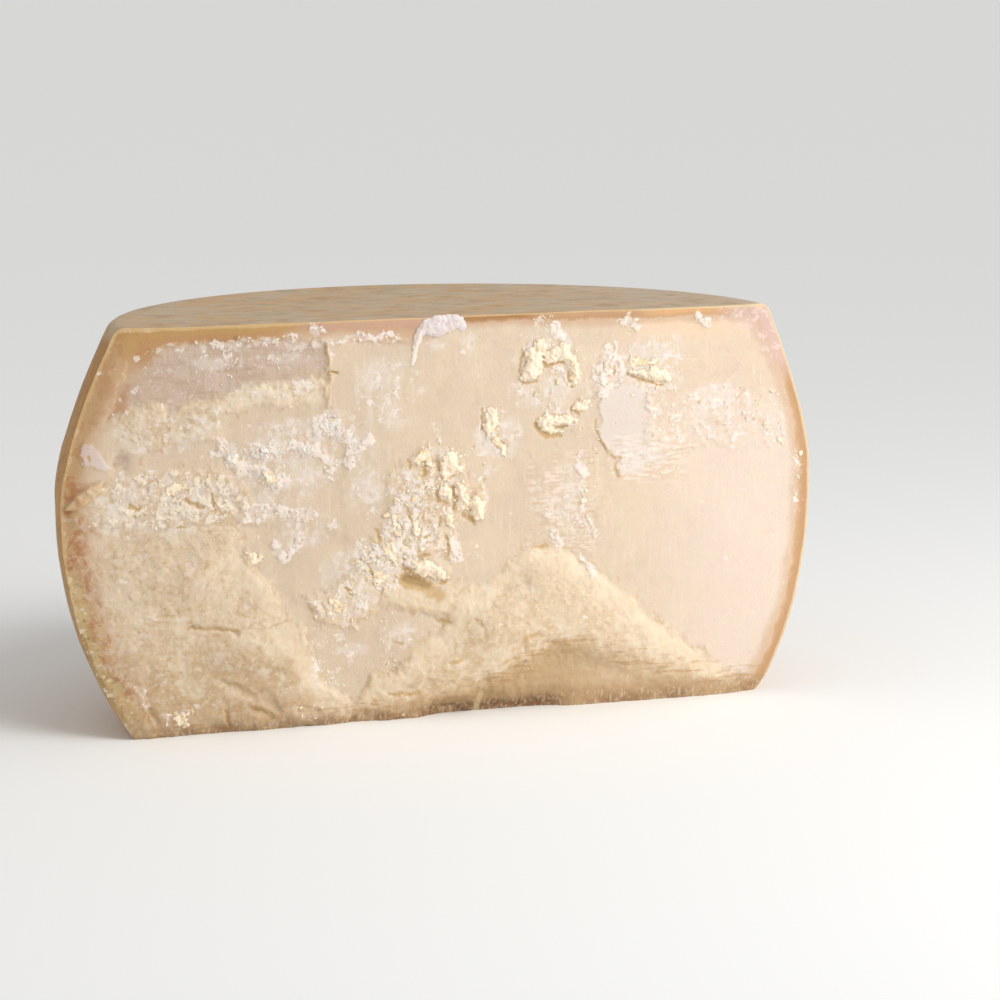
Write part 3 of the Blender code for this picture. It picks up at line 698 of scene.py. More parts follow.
@dataclass
class Barrel:
    """The whole wheel before it was opened, in metres; height and belly come from the model.

    The wheel bulges more to the left, by the lean; dents and the sunken top are in mm.
    """

    height: float = 0.235
    belly: float = 0.2267
    radius_top: float = 0.1954
    radius_base: float = 0.1911
    belly_height: float = 0.138
    lean: float = 0.0029
    upper_curve: float = 1.45
    lower_curve: float = 2.41
    round_top: float = 0.0045
    round_base: float = 0.002
    axis_x: float = 0.0029
    axis_y: float = -0.1085
    side_dents: float = 0.4
    top_dents: float = 0.35
    top_sunk: float = 0.5
    top_border: float = 0.012
    sides: int = 256
    profile_steps: int = 44
    edge_steps: int = 5
    cap_rings: int = 20

    @classmethod
    def from_frame(cls) -> "Barrel":
        """Reads the height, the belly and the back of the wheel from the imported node's box."""
        low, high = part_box(NODE)
        barrel = cls()
        barrel.height = high[2] - low[2]
        barrel.belly = (high[0] - low[0]) / 2.0
        barrel.axis_x = (high[0] + low[0]) / 2.0 + barrel.lean
        barrel.axis_y = high[1] - barrel.belly
        return barrel

    def radius(self, height: Array, lean: Array) -> Array:
        """Radius at a height in metres; lean is 1 at the far left and -1 at the far right."""
        upper = np.clip((height - self.belly_height) / (self.height - self.belly_height), 0.0, 1.0)
        lower = np.clip((self.belly_height - height) / self.belly_height, 0.0, 1.0)
        belly = self.belly + self.lean * lean
        above = belly - (belly - self.radius_top) * upper**self.upper_curve
        below = belly - (belly - self.radius_base) * lower**self.lower_curve
        return np.where(height > self.belly_height, above, below)

    def rind_distance(self, u: Array, v: Array) -> Array:
        """Distance in mm from a face place to the rind beside it, left or right."""
        lean = np.where(u < 0.0, 1.0, -1.0)
        return self.radius(np.clip(v * MM, 0.0, self.height), lean) / MM - np.abs(u)

    def in_band(self, u: Array, v: Array, band: Band) -> Array:
        """Depth below the rind as a share of a band's width: 0 at the rind, 1 where the band ends."""
        width = np.where(u < 0.0, along_table(v, band.left), along_table(v, band.right))
        from_side = self.rind_distance(u, v) / width
        return np.minimum(from_side, (self.height / MM - v) / along_table(u, band.top))

    def face_places(self, points: Array) -> tuple[Array, Array, Array]:
        """Places across and up of points in metres, and how far they stand out of the cut, in mm."""
        return (points[:, 0] - self.axis_x) / MM, points[:, 2] / MM, (self.axis_y - points[:, 1]) / MM

    def on_face(self, u: Array, v: Array, out: Array) -> Array:
        """Points in metres from face places and heights out of the knife-cut plane, in mm."""
        return np.stack([self.axis_x + u * MM, self.axis_y - out * MM, v * MM], axis=-1)

    def profile(self) -> list[Point]:
        """Inset and height, in metres, up the side with its rounded edges."""
        turns = [0.5 * math.pi * step / self.edge_steps for step in range(self.edge_steps + 1)]
        side = self.height - self.round_base - self.round_top
        points = [
            (self.round_base * (1.0 - math.sin(turn)), self.round_base * (1.0 - math.cos(turn)))
            for turn in turns
        ]
        for step in range(1, self.profile_steps):
            points.append((0.0, self.round_base + side * step / self.profile_steps))
        for turn in turns:
            inset = self.round_top * (1.0 - math.cos(turn))
            points.append((inset, self.height - self.round_top * (1.0 - math.sin(turn))))
        return points

    def build(self) -> Mesh:
        """Builds the closed barrel with its slightly uneven rind."""
        angle = FULL_TURN * np.arange(self.sides) / self.sides - 0.5 * math.pi
        rings = []
        for inset, height in self.profile():
            radius = self.radius(np.full(self.sides, height), -np.cos(angle)) - inset
            across = angle * self.belly / MM
            dents = SIDE_DENTS.over(across, np.full(self.sides, height / MM))
            radius += self.side_dents * MM * dents
            rings.append((radius, np.full(self.sides, height)))
        top_radius, top_height = rings[-1]
        for ring in range(1, self.cap_rings):
            radius = top_radius * (1.0 - ring / self.cap_rings)
            dents = TOP_DENTS.over(radius * np.cos(angle) / MM, radius * np.sin(angle) / MM)
            settle = 1.0 - rise(radius, self.radius_top, self.radius_top - self.top_border)
            sunk = MM * (self.top_sunk + self.top_dents * dents) * (1.0 - settle)
            rings.append((radius, top_height - sunk))
        points = [
            np.stack(
                [self.axis_x + radius * np.cos(angle), self.axis_y + radius * np.sin(angle), height], axis=-1
            )
            for radius, height in rings
        ]
        points.append(np.array([[self.axis_x, self.axis_y, 0.0]]))
        points.append(np.array([[self.axis_x, self.axis_y, self.height - self.top_sunk * MM]]))
        side = np.arange(self.sides)
        after = (side + 1) % self.sides
        top = (len(rings) - 1) * self.sides
        base_middle = np.full(self.sides, top + self.sides)
        fans = [
            np.stack([after, side, base_middle], axis=-1),
            np.stack([top + side, top + after, base_middle + 1], axis=-1),
        ]
        return new_mesh("whole_wheel", np.concatenate(points), joined_rings(len(rings), self.sides) + fans)


@dataclass
class BrokenFace:
    """The broken face as maps over a grid of face places, all in mm.

    Fields that end in _edge say where a smooth border starts and where it is over.
    """

    barrel: Barrel
    step: float = 0.75
    side: float = 234.0
    low: float = -6.0
    high: float = 241.0
    end_gap: float = 1.001
    slope_depth: float = 5.0
    slope_reach: float = 22.0
    nook_depth: float = 7.0
    nook_left_edge: Span = (-24.0, -4.0)
    nook_right_edge: Span = (74.0, 52.0)
    nook_top_edge: Span = (16.0, 1.0)
    rind_edge: Span = (12.0, 0.0)
    rind_drop: float = 1.2
    veil_edge: Span = (1.15, 0.3)
    veil_cover: float = 0.35
    bed_edge: Span = (-4.0, 4.0)
    smear_reach: Span = (2.4, 0.2)
    line_reach: Span = (1.2, 0.1)
    amber_edge: Span = (0.3, 0.8)
    left_band_edge: Span = (-100.0, -88.0)
    cover_weight: float = 1.4
    cover_least: float = 0.9
    flake_edge: Span = (0.0, 0.2)
    thick_edge: Span = (0.1, 0.8)
    flake_height: float = 0.35
    flake_lumps: float = 0.45
    flake_size: float = 4.4
    chip_blur: float = 0.4
    crumb_level: float = -0.45
    swell_edge: Span = (1.0, 0.1)
    pit_edge: Span = (0.45, 1.0)
    mound_edge: Span = (-1.0, 3.0)
    mound_inset: float = -0.5
    crown_reach: float = 34.0
    mound_grain: float = 0.42
    mound_crumbs: float = 0.45
    mound_pits: float = 0.4
    mound_level: float = 0.4
    raised_share: float = 0.8
    raised_crumbs: float = 0.5
    nook_share: float = 0.6
    unmarked: float = -40.0
    crease_blur: float = 2.2
    maps: dict[str, Array] = field(default_factory=dict)

    def __post_init__(self) -> None:
        """Works out every map."""
        self.across = np.arange(-self.side, self.side + self.step, self.step)
        self.up = np.arange(self.low, self.high + self.step, self.step)
        u, v = np.meshgrid(self.across, self.up, indexing="ij")
        self.maps["amber"] = self.barrel.in_band(u, v, AMBER_BAND)
        self.maps["line"] = self.barrel.in_band(u, v, EDGE_LINE)
        self.maps["crumbly"] = np.zeros_like(u)
        self.maps["veil"] = self.veils(u, v)
        self.maps["flaked"] = self.flake_cover(u, v)
        for look in MAPPED_LOOKS:
            self.maps[look.value] = np.full_like(u, self.unmarked)
        self.chipped = self.chipped_paste(u, v)
        self.crumbled = self.crumbled_paste(u, v)
        height = self.with_zones(u, v, sum(waves.over(u, v) for waves in PLANE_WAVES))
        height = self.with_mounds(u, v, height)
        height = self.with_lines(u, v, height)
        lumps = self.flake_height + self.flake_lumps * GRAINS.lumps(u, v, self.flake_size)
        height += self.maps["flaked"] * (rise(self.maps["cover"], *self.thick_edge) * lumps)
        height -= self.rind_drop * rise(self.barrel.rind_distance(u, v), *self.rind_edge)
        height -= self.foot_cut(u, v)
        self.maps["height"] = height
        self.maps["crease"] = height - self.blurred(height, self.crease_blur)

    def veils(self, u: Array, v: Array) -> Array:
        """How thickly white bloom lies on the face, 0 to 1."""
        frayed_u, frayed_v = ragged(u, v, VEIL_FRAY)
        bloom = np.zeros_like(u)
        for middle_u, middle_v, half_across, half_up in VEILS:
            part = np.hypot((frayed_u - middle_u) / half_across, (frayed_v - middle_v) / half_up)
            bloom = np.maximum(bloom, rise(part, *self.veil_edge))
        return bloom

    def flake_cover(self, u: Array, v: Array) -> Array:
        """Where ragged white flakes lie on the face, 0 to 1; the beds say how much they cover."""
        frayed_u, frayed_v = ragged(u, v, FLAKE_FRAY)
        cover = self.veil_cover * self.maps["veil"]
        for bed in CRUMB_BEDS:
            depth_in = inside(frayed_u, frayed_v, bed.outline)
            cover = np.maximum(cover, bed.cover * rise(depth_in, *self.bed_edge))
        cover = np.maximum(cover, self.line_heights(frayed_u, frayed_v, SMEARS, self.smear_reach))
        cover *= np.maximum(rise(self.maps["amber"], *self.amber_edge), rise(u, *self.left_band_edge))
        self.maps["cover"] = cover
        patches = FLAKE_WAVES.over(*ragged(u, v, PATCH_FRAY))
        return rise(patches + self.cover_weight * cover - self.cover_least, *self.flake_edge)

    def chipped_paste(self, u: Array, v: Array) -> Array:
        """Relief of broken paste: tilted chips of four sizes over soft crags, about -2 to 2."""
        warped_u, warped_v = ragged(u, v, CHIP_FRAY)
        relief = CHIP_WAVES.over(u, v)
        for noise, size, depth in CHIP_SIZES:
            relief += depth * noise.chips(warped_u + size, warped_v - size, size)
        return self.blurred(relief, self.chip_blur)

    def crumbled_paste(self, u: Array, v: Array) -> Array:
        """Relief of paste broken down to crumbs: rounded grains of three sizes, about -0.5 to 1.2."""
        warped_u, warped_v = ragged(u, v, CRUMB_FRAY)
        relief = self.crumb_level + CRUMB_WAVES.over(u, v)
        for noise, size, depth in CRUMB_SIZES:
            relief += depth * noise.lumps(warped_u - size, warped_v + size, size)
        return relief

    def with_zones(self, u: Array, v: Array, height: Array) -> Array:
        """Adds the zones in order, and records the finish of each."""
        for zone in ZONES:
            depth_in = inside(*ragged(u, v, replace(MOUND_FRAY, reach=zone.fray)), zone.outline)
            mask = rise(depth_in, -0.5 * zone.step, 0.5 * zone.step)
            relief = zone.chips * self.chipped + zone.crumbs * self.crumbled
            height = height + mask * (zone.level + relief)
            self.maps["crumbly"] = np.maximum(self.maps["crumbly"] * (1.0 - mask), mask * zone.crumbs)
            self.record(zone.look, depth_in)
        return height

    def record(self, look: Look, depth_in: Array) -> None:
        """Notes how deep each place lies in a finish; a later zone covers the others."""
        for other in MAPPED_LOOKS:
            known = self.maps[other.value]
            if other is look:
                self.maps[other.value] = np.maximum(known, depth_in)
            else:
                self.maps[other.value] = np.minimum(known, -depth_in)

    def with_mounds(self, u: Array, v: Array, height: Array) -> Array:
        """Lays the mounds over the face, with their broad swells, chips and pits."""
        swells = np.zeros_like(u)
        for middle_u, middle_v, half_across, half_up, crown in SWELLS:
            part = np.hypot((u - middle_u) / half_across, (v - middle_v) / half_up)
            swells += crown * rise(part, *self.swell_edge)
        pits = rise(PIT_WAVES.over(u, v), *self.pit_edge)
        texture = self.chipped + self.mound_crumbs * self.crumbled
        texture = texture - self.mound_pits * pits - self.mound_level
        for mound in MOUNDS:
            depth_in = inside(*ragged(u, v, MOUND_FRAY), mound.outline)
            swell = mound.rim * rise(depth_in, self.mound_inset, mound.step)
            swell += mound.crown * rise(depth_in, 0.0, self.crown_reach)
            mask = rise(depth_in, *self.mound_edge)
            height = height * (1.0 - mask) + swell + mask * (swells + self.mound_grain * texture)
            self.maps["crumbly"] *= 1.0 - mask
            self.record(Look.BROKEN, depth_in)
        return height

    def line_heights(
        self, u: Array, v: Array, along: list[Line], reach: Span, spread: Array | float = 1.0
    ) -> Array:
        """Rounded bumps along lines; where two meet the higher one counts.

        Args:
            u: places across, in mm.
            v: places up, in mm.
            along: the lines.
            reach: where a bump starts and where it is full, in half widths of its line.
            spread: how much wider than that the lines are, at each place.

        Returns:
            Heights of the bumps, 0 away from them.
        """
        height = np.zeros_like(u)
        for line in along:
            outer, inner = (share * line.half_width for share in reach)
            for start, end in zip(line.points, line.points[1:]):
                distance = nearest_on_line(u, v, start, end) / spread
                height = np.maximum(height, line.crown * rise(distance, outer, inner))
        return height

    def with_lines(self, u: Array, v: Array, height: Array) -> Array:
        """Adds raised lines and sinks the cracks and nooks."""
        frayed = ragged(u, v, RAISED_FRAY)
        spread = 1.0 + LINE_WAVES.over(*frayed[::-1])
        raised = self.line_heights(*frayed, RAISED_LINES, self.line_reach, spread)
        height = height + raised * (self.raised_share + self.raised_crumbs * self.crumbled)
        frayed = ragged(u, v, GROOVE_FRAY)
        spread = 1.0 + LINE_WAVES.over(*frayed[::-1])
        self.maps["nook"] = self.line_heights(*frayed, NOOKS, self.line_reach, spread)
        cracks = self.line_heights(*frayed, CRACKS, self.line_reach, spread)
        return height - np.maximum(self.nook_share * self.maps["nook"], cracks)

    def foot_cut(self, u: Array, v: Array) -> Array:
        """How far in mm the face falls back near the base, most under the middle mound."""
        frayed_u, frayed_v = ragged(u, v, FOOT_FRAY)
        below = along_table(frayed_u, UNDERCUT_TOP) - frayed_v
        self.maps["foot"] = below
        middle = rise(frayed_u, *self.nook_left_edge) * rise(frayed_u, *self.nook_right_edge)
        sliding = self.slope_depth * rise(below, 0.0, self.slope_reach)
        return sliding + middle * self.nook_depth * rise(frayed_v, *self.nook_top_edge)

    def blurred(self, values: Array, width: float) -> Array:
        """Smooths a map with a bell curve of the given width in mm."""
        turns_u = np.fft.fftfreq(values.shape[0], self.step)[:, None]
        turns_v = np.fft.rfftfreq(values.shape[1], self.step)[None, :]
        bell = np.exp(-2.0 * (math.pi * width) ** 2 * (turns_u**2 + turns_v**2))
        return np.fft.irfft2(np.fft.rfft2(values) * bell, values.shape)

    def read(self, name: str, u: Array, v: Array) -> Array:
        """Reads a map at face places, blending between its grid points.

        Args:
            name: name of the map.
            u: places across, in mm.
            v: places up, in mm.

        Returns:
            The map's values there.
        """
        values = self.maps[name]
        x = np.clip((u + self.side) / self.step, 0.0, values.shape[0] - self.end_gap)
        y = np.clip((v - self.low) / self.step, 0.0, values.shape[1] - self.end_gap)
        i = x.astype(int)
        j = y.astype(int)
        x -= i
        y -= j
        low = values[i, j] * (1.0 - x) + values[i + 1, j] * x
        high = values[i, j + 1] * (1.0 - x) + values[i + 1, j + 1] * x
        return low * (1.0 - y) + high * y

    def block(self, depth: float = 0.3) -> Mesh:
        """Builds a block, depth metres thick, whose back is the broken face in reverse."""
        u, v = np.meshgrid(self.across, self.up, indexing="ij")
        back = self.barrel.on_face(u.ravel(), v.ravel(), self.maps["height"].ravel())
        number = np.arange(u.size).reshape(u.shape)
        cells = np.stack([number[:-1, :-1], number[:-1, 1:], number[1:, 1:], number[1:, :-1]], axis=-1)
        rim = np.concatenate([number[:-1, 0], number[-1, :-1], number[:0:-1, -1], number[0, :0:-1]])
        front = back[rim].copy()
        front[:, 1] = self.barrel.axis_y - depth
        cap = len(back) + np.arange(len(rim))
        walls = np.stack([rim, np.roll(rim, -1), np.roll(cap, -1), cap], axis=-1)
        faces = [cells.reshape(-1, 4), walls, cap[None, :]]
        return new_mesh("front_block", np.concatenate([back, front]), faces)


@dataclass(frozen=True)
class Grain:
    """A noise in a material: size of its features in mm, finer layers, and stretch along each axis."""

    size: float
    detail: float = 3.0
    stretch: Place = (1.0, 1.0, 1.0)


@dataclass(frozen=True)
class Mask:
    """A share that rises from 0 at start to 1 at end of a map or noise, with a frayed border."""

    source: str
    start: float
    end: float
    fray: float = 0.0
    by: str = "patches"


@dataclass(frozen=True)
class Layer:
    """A colour laid over those before it, where all its masks overlap."""

    colour: str
    strength: float
    masks: tuple[Mask, ...]
    blend: str


def layer(
    colour: str, strength: float, *masks: Mask, blend: str = "MIX", **spans: tuple[float, ...]
) -> Layer:
    """Makes a layer from masks that have a name and from spans.

    Args:
        colour: its colour, an sRGB hex colour.
        strength: how much of it is laid on, 0 to 1.
        masks: masks that it keeps to.
        blend: how its colour joins those below.
        spans: for each map or noise, where the layer starts and where it is full; two more
            numbers say the same of its other border.

    Returns:
        The layer.
    """
    made = [Mask(name, *span[at : at + 2]) for name, span in spans.items() for at in range(0, len(span), 2)]
    return Layer(colour, strength, (*masks, *made), blend)


IN_AMBER = Mask("amber", 1.25, 0.35, 0.3, "clouds")
IN_DEEP_AMBER = Mask("amber", 0.66, 0.28, 0.16)
ON_LINE = Mask("line", 1.15, 0.65, 0.3)
LEFT_SIDE = Mask("across", -150, -200)
RIGHT_SIDE = Mask("across", 150, 195)
IN_BROKEN = Mask("broken", -2.0, 2.5, 3.0)
IN_GREY = Mask("grey", -1.0, 2.5, 2.5)
IN_PALE = Mask("pale", -0.8, 1.2, 1.5)
IN_CRUMBS = Mask("crumbly", 0.2, 0.9)
ON_CHIP = Mask("golden", -0.4, 1.0, 1.0)
ON_FLAKES = Mask("flaked", 0.35, 0.85, 0.3, "crumble")
AT_RIPPLES = {"across": (44, 54, 98, 86), "up": (84, 98, 160, 142)}
AT_LEAF = {"across": (96, 106, 156, 138), "up": (128, 138, 166, 156)}

PASTE_LAYERS = (
    # The knife-cut plane: clouds, streaks and specks, and painted light that makes the right side lighter
    layer("E2CCB5", 0.85, across=(40, 190)),
    layer("E3CFB4", 0.45, clouds=(0.45, 0.62)),
    layer("CFB9A2", 0.35, patches=(0.52, 0.72)),
    layer("EADBC6", 0.35, streaks=(0.56, 0.7)),
    layer("EFE2D0", 0.4, specks=(0.6, 0.72)),
    layer("C8A77C", 0.22, dots=(0.6, 0.72)),
    layer("E6D6C8", 0.6, across=(100, 180), up=(195, 160)),
    layer("F0D0AE", 0.5, up=(210, 226), across=(96, 125, 190, 165)),
    layer("E6CAC0", 0.6, across=(160, 196), up=(186, 216), drift=(0.44, 0.54)),
    # The scraped hollow, greyer than the rest
    layer("C8B09B", 0.9, IN_GREY),
    layer("B49C87", 0.4, IN_GREY, scratches=(0.48, 0.64)),
    layer("D6C4B6", 0.5, IN_GREY, drift=(0.46, 0.56), streaks=(0.62, 0.5)),
    # Broken paste: yellower, with pale crumbly patches and golden dots
    layer("DAC4A7", 0.9, IN_BROKEN),
    layer("E1CBAD", 0.4, IN_BROKEN, across=(-70, 10), up=(25, 60)),
    # Darker low part of the left mound: its own tan, and painted shade of its folds
    layer("C4A881", 0.8, IN_BROKEN, across=(-66, -96), up=(70, 28)),
    layer("D2B996", 0.6, IN_BROKEN, across=(-64, -50, 44, 22), up=(74, 60)),
    layer("CDB594", 0.45, across=(-150, -168), up=(164, 172, 196, 190), drift=(0.54, 0.44)),
    layer("C9A672", 0.35, IN_BROKEN, ripples=(0.57, 0.67)),
    layer("D1B694", 0.5, IN_BROKEN, blotches=(0.46, 0.6)),
    layer("C4A06E", 0.3, IN_BROKEN, dots=(0.54, 0.66)),
    layer("BE9A68", 0.25, IN_BROKEN, dots=(0.52, 0.64), across=(-60, -110)),
    layer("E9DCC6", 0.4, IN_BROKEN, drift=(0.5, 0.6)),
    layer("E2D4C8", 0.5, IN_BROKEN, drift=(0.5, 0.42), patches=(0.5, 0.6), across=(-60, -110)),
    layer("ECDFC9", 0.35, IN_BROKEN, crumble=(0.5, 0.62)),
    layer("EAD8BD", 0.6, Mask("broken", 0, 5, 2), Mask("broken", 18, 8, 4), across=(-142, -126),
          up=(128, 112)),
    # The golden border of broken paste
    layer("C79C62", 0.4, Mask("broken", -6, -1, 2), Mask("broken", 4, 0, 2), dashes=(0.56, 0.66)),
    # The pale leaf and what lies at one place only
    layer("E2D6CD", 0.8, IN_PALE, across=(150, 108)),
    layer("EDDEC6", 0.7, across=(-129, -122, -74, -80), up=(186, 190, 204, 199), patches=(0.38, 0.5)),
    layer("CDB48C", 0.4, IN_GREY, across=(-128, -118), up=(212, 202), drift=(0.5, 0.6)),
    layer("EADBC0", 0.4, across=(-190, -180, -126, -134), up=(168, 174, 194, 188), patches=(0.46, 0.56)),
    layer("F0E2D3", 0.6, ripples=(0.49, 0.59), blotches=(0.42, 0.54), **AT_RIPPLES),
    # Painted shade: golden undersides of the cream ripple marks
    layer("D0AE80", 0.5, ripples=(0.46, 0.38), drift=(0.46, 0.54), **AT_RIPPLES),
    layer("F4E8DA", 0.6, ripples=(0.5, 0.6), **AT_LEAF),
    # Painted shade: golden undersides of the cream ripple marks on the leaf
    layer("D8B88C", 0.5, ripples=(0.44, 0.37), **AT_LEAF),
    layer("D3B083", 0.45, dashes=(0.6, 0.68), across=(118, 126, 208, 196), up=(148, 156, 192, 184)),
    # White bloom
    layer("E6DAD0", 0.45, veil=(0.1, 0.7), drift=(0.47, 0.56)),
    layer("EADFD8", 0.22, veil=(0.1, 0.8), streaks=(0.48, 0.6)),
    layer("ECE2DA", 0.5, veil=(0.1, 0.7), drift=(0.42, 0.54), crumble=(0.5, 0.6)),
    layer("CFAE7E", 0.45, veil=(0.1, 0.7), drift=(0.44, 0.52), dashes=(0.6, 0.68)),
    # Golden chips; painted shade that darkens the creases and painted highlight that lightens the crests
    layer("CCB080", 0.85, Mask("golden", -0.8, 1, 1)),
    layer("C19A64", 0.5, crease=(-0.3, -1.3)),
    layer("C09A5C", 0.4, IN_CRUMBS, crease=(-0.1, -0.6)),
    layer("EFE4D2", 0.3, crease=(0.4, 1.2)),
    # Amber paste that has dried below the rind, in a left, a middle and a right part
    layer("CAA986", 0.85, IN_AMBER),
    layer("CFAD90", 0.85, IN_AMBER, across=(-92, -70)),
    layer("D6BA9D", 0.85, IN_AMBER, across=(60, 120)),
    layer("C09C6F", 0.9, IN_DEEP_AMBER),
    layer("C8A882", 0.8, IN_AMBER, amber=(0.04, 0.2), up=(200, 214), across=(-180, -194)),
    layer("BC8C56", 0.85, Mask("amber", 1.1, 0.75, 0.25), up=(208, 219), across=(-196, -178, -84, -104)),
    layer("C19B60", 0.85, Mask("amber", 0.62, 0.42, 0.1), up=(214, 224), across=(-198, -186, -84, -104)),
    layer("CBA48A", 0.95, IN_DEEP_AMBER, up=(210, 222), across=(-94, -74)),
    layer("AB7C48", 0.95, IN_DEEP_AMBER, up=(210, 222), across=(-8, 10)),
    layer("C49C76", 0.95, IN_DEEP_AMBER, across=(44, 60)),
    layer("DBAE7C", 0.95, IN_DEEP_AMBER, across=(112, 132)),
    layer("C0976E", 0.95, IN_DEEP_AMBER, RIGHT_SIDE),
    layer("D5B8AC", 0.85, IN_AMBER, up=(184, 204), across=(160, 185)),
    layer("B98552", 0.55, amber=(0.6, 0.85, 1.3, 1), patches=(0.42, 0.54), across=(-184, -190),
          up=(176, 192)),
    layer("B37E49", 0.45, IN_AMBER, LEFT_SIDE, patches=(0.48, 0.62)),
    layer("AF6F3A", 0.6, Mask("amber", 0.9, 0.5, 0.2), LEFT_SIDE, patches=(0.48, 0.6), up=(170, 140)),
    layer("DCC9BC", 0.4, Mask("amber", 1.2, 0.8, 0.4), LEFT_SIDE, crumble=(0.5, 0.6), up=(145, 120)),
    layer("EBDCD8", 0.45, amber=(1.1, 0.8), up=(196, 210), across=(158, 180), crumble=(0.5, 0.6)),
    # The chip at the left edge
    layer("E0C8A8", 0.7, ON_CHIP, up=(100, 120), patches=(0.62, 0.42)),
    layer("D6B083", 0.5, ON_CHIP, up=(100, 120), patches=(0.42, 0.62)),
    # The dry line along the rind
    layer("D5B684", 0.8, ON_LINE, up=(222, 230)),
    layer("CDB587", 0.8, ON_LINE, LEFT_SIDE, up=(100, 90)),
    layer("C3A368", 0.5, ON_LINE, LEFT_SIDE, up=(100, 90), patches=(0.5, 0.58)),
    # Painted shade: darker at the rind edge low on the left side, frayed by specks
    layer("94794C", 0.75, Mask("line", 0.34, 0.1, 0.12, "specks"), LEFT_SIDE, up=(74, 56)),
    layer("8A6A3C", 0.5, ON_LINE, LEFT_SIDE, up=(150, 120), dots=(0.58, 0.66)),
    layer("E9DDC8", 0.6, ON_LINE, LEFT_SIDE, crumble=(0.54, 0.62)),
    layer("CFAE7C", 0.7, ON_LINE, LEFT_SIDE, up=(90, 100)),
    layer("DAC6A4", 0.8, ON_LINE, across=(100, 150)),
    # Waxy chips and flakes, with painted shade: golden dashes at the flakes' edges and golden shade in the
    # nooks beside and under them
    layer("D9C7C1", 0.75, Mask("pale", 0, 1.4, 1.8, "dots"), across=(-190, -200)),
    layer("EADCD3", 0.6, Mask("cover", 0.46, 0.66, 0.6, "crumble")),
    layer("F0E4DB", 0.75, ON_FLAKES),
    layer("EFE2CA", 0.7, ON_FLAKES, up=(116, 122, 156, 150), across=(-116, -126)),
    layer("C49E68", 0.4, cover=(0.4, 0.8), dashes=(0.58, 0.66)),
    layer("CBA873", 0.85, Mask("nook", 0.05, 0.7, 0.12, "dots")),
    layer("A1814E", 0.7, nook=(0.8, 1.6)),
    # The foot, with streaks, fibres and paler patches near the base, and painted shade that darkens it
    # towards the base under the undercut
    layer("B99268", 0.35, up=(26, 16), across=(-66, -100), drift=(0.46, 0.54)),
    layer("CBB08A", 0.6, Mask("foot", 0, 14, 6)),
    layer("B99B71", 0.75, Mask("foot", -4, 12, 6), across=(110, 64)),
    layer("B68B54", 0.5, Mask("foot", -8, 4, 4), foot=(20, 8), scratches=(0.5, 0.62)),
    layer("B28F66", 0.7, Mask("foot", 2, 10, 3), up=(17, 7)),
    layer("CFBCA0", 0.5, up=(16, 8), across=(-60, -80), patches=(0.44, 0.56)),
    layer("7C583A", 0.75, up=(9, 4), across=(-22, -10, 74, 60), patches=(0.36, 0.5)),
    layer("8E6742", 0.6, up=(9, 2), blotches=(0.42, 0.56)),
    layer("D3C0A4", 0.6, up=(10, 6), foot=(2, 8), fibres=(0.52, 0.62)),
    layer("CDB78F", 0.8, across=(15.5, 17, 21, 19.5), up=(14, 11)),
    # The left side lies a little in shade
    layer("F6F5F3", 1, across=(60, -160), blend="MULTIPLY"),
)

RIND_LAYERS = (
    layer("AC8452", 0.6, patches=(0.46, 0.64)),
    layer("AE7C49", 0.45, up=(170, 190), blotches=(0.4, 0.54)),
    layer("B9A27C", 0.6, up=(130, 90), blotches=(0.4, 0.6)),
    layer("BB9562", 0.5, specks=(0.56, 0.7)),
    layer("6B5534", 0.5, dots=(0.58, 0.68)),
    layer("54442A", 0.5, dots=(0.54, 0.6), patches=(0.5, 0.56), up=(180, 160)),
    layer("CDA97E", 1, up=(224, 232)),
    layer("C6B196", 0.9, up=(226, 233), clouds=(0.4, 0.56)),
    layer("C9B6A0", 0.6, up=(228, 232), across=(40, 150)),
    layer("C99C69", 0.8, up=(226, 231), across=(-185, -212)),
    layer("A58058", 0.6, up=(228, 232), blotches=(0.5, 0.68)),
    layer("A78D6E", 0.55, up=(228, 232), scratches=(0.5, 0.64)),
    layer("D9C4A4", 0.35, up=(228, 232), scratches=(0.46, 0.34)),
    layer("C4B298", 0.5, up=(228, 232), patches=(0.5, 0.7)),
    layer("5C4630", 0.6, up=(228, 232), specks=(0.66, 0.74)),
    layer("D8BE9C", 0.8, across=(130, 180), back=(-100, -107)),
)

# Noises that a finish can read, by name
TEXTURES = {
    "clouds": Grain(30.0, 4.0),
    "blotches": Grain(16.0, 5.0),
    "patches": Grain(8.0, 4.0),
    "dots": Grain(3.2),
    "specks": Grain(1.6, 2.0),
    "crumble": Grain(4.2, 5.0),
    "dashes": Grain(3.6, 3.0, (1.0, 1.0, 1.8)),
    "grit": Grain(1.2, 2.0),
    "fibres": Grain(1.8, 3.0, (1.0, 1.0, 3.5)),
    "ripples": Grain(1.8, 3.0, (4.0, 1.0, 1.0)),
    "drift": Grain(15.0, 6.0, (1.3, 1.0, 1.0)),
    "streaks": Grain(3.0, 3.0, (1.0, 1.0, 9.0)),
    "scratches": Grain(2.0, 3.0, (10.0, 1.0, 1.0)),
}
TEXTURE_ROUGHNESS = 0.6

# A noise of 0 to 1 frays a border by twice the fray to each side
FRAY_SWING = 4.0


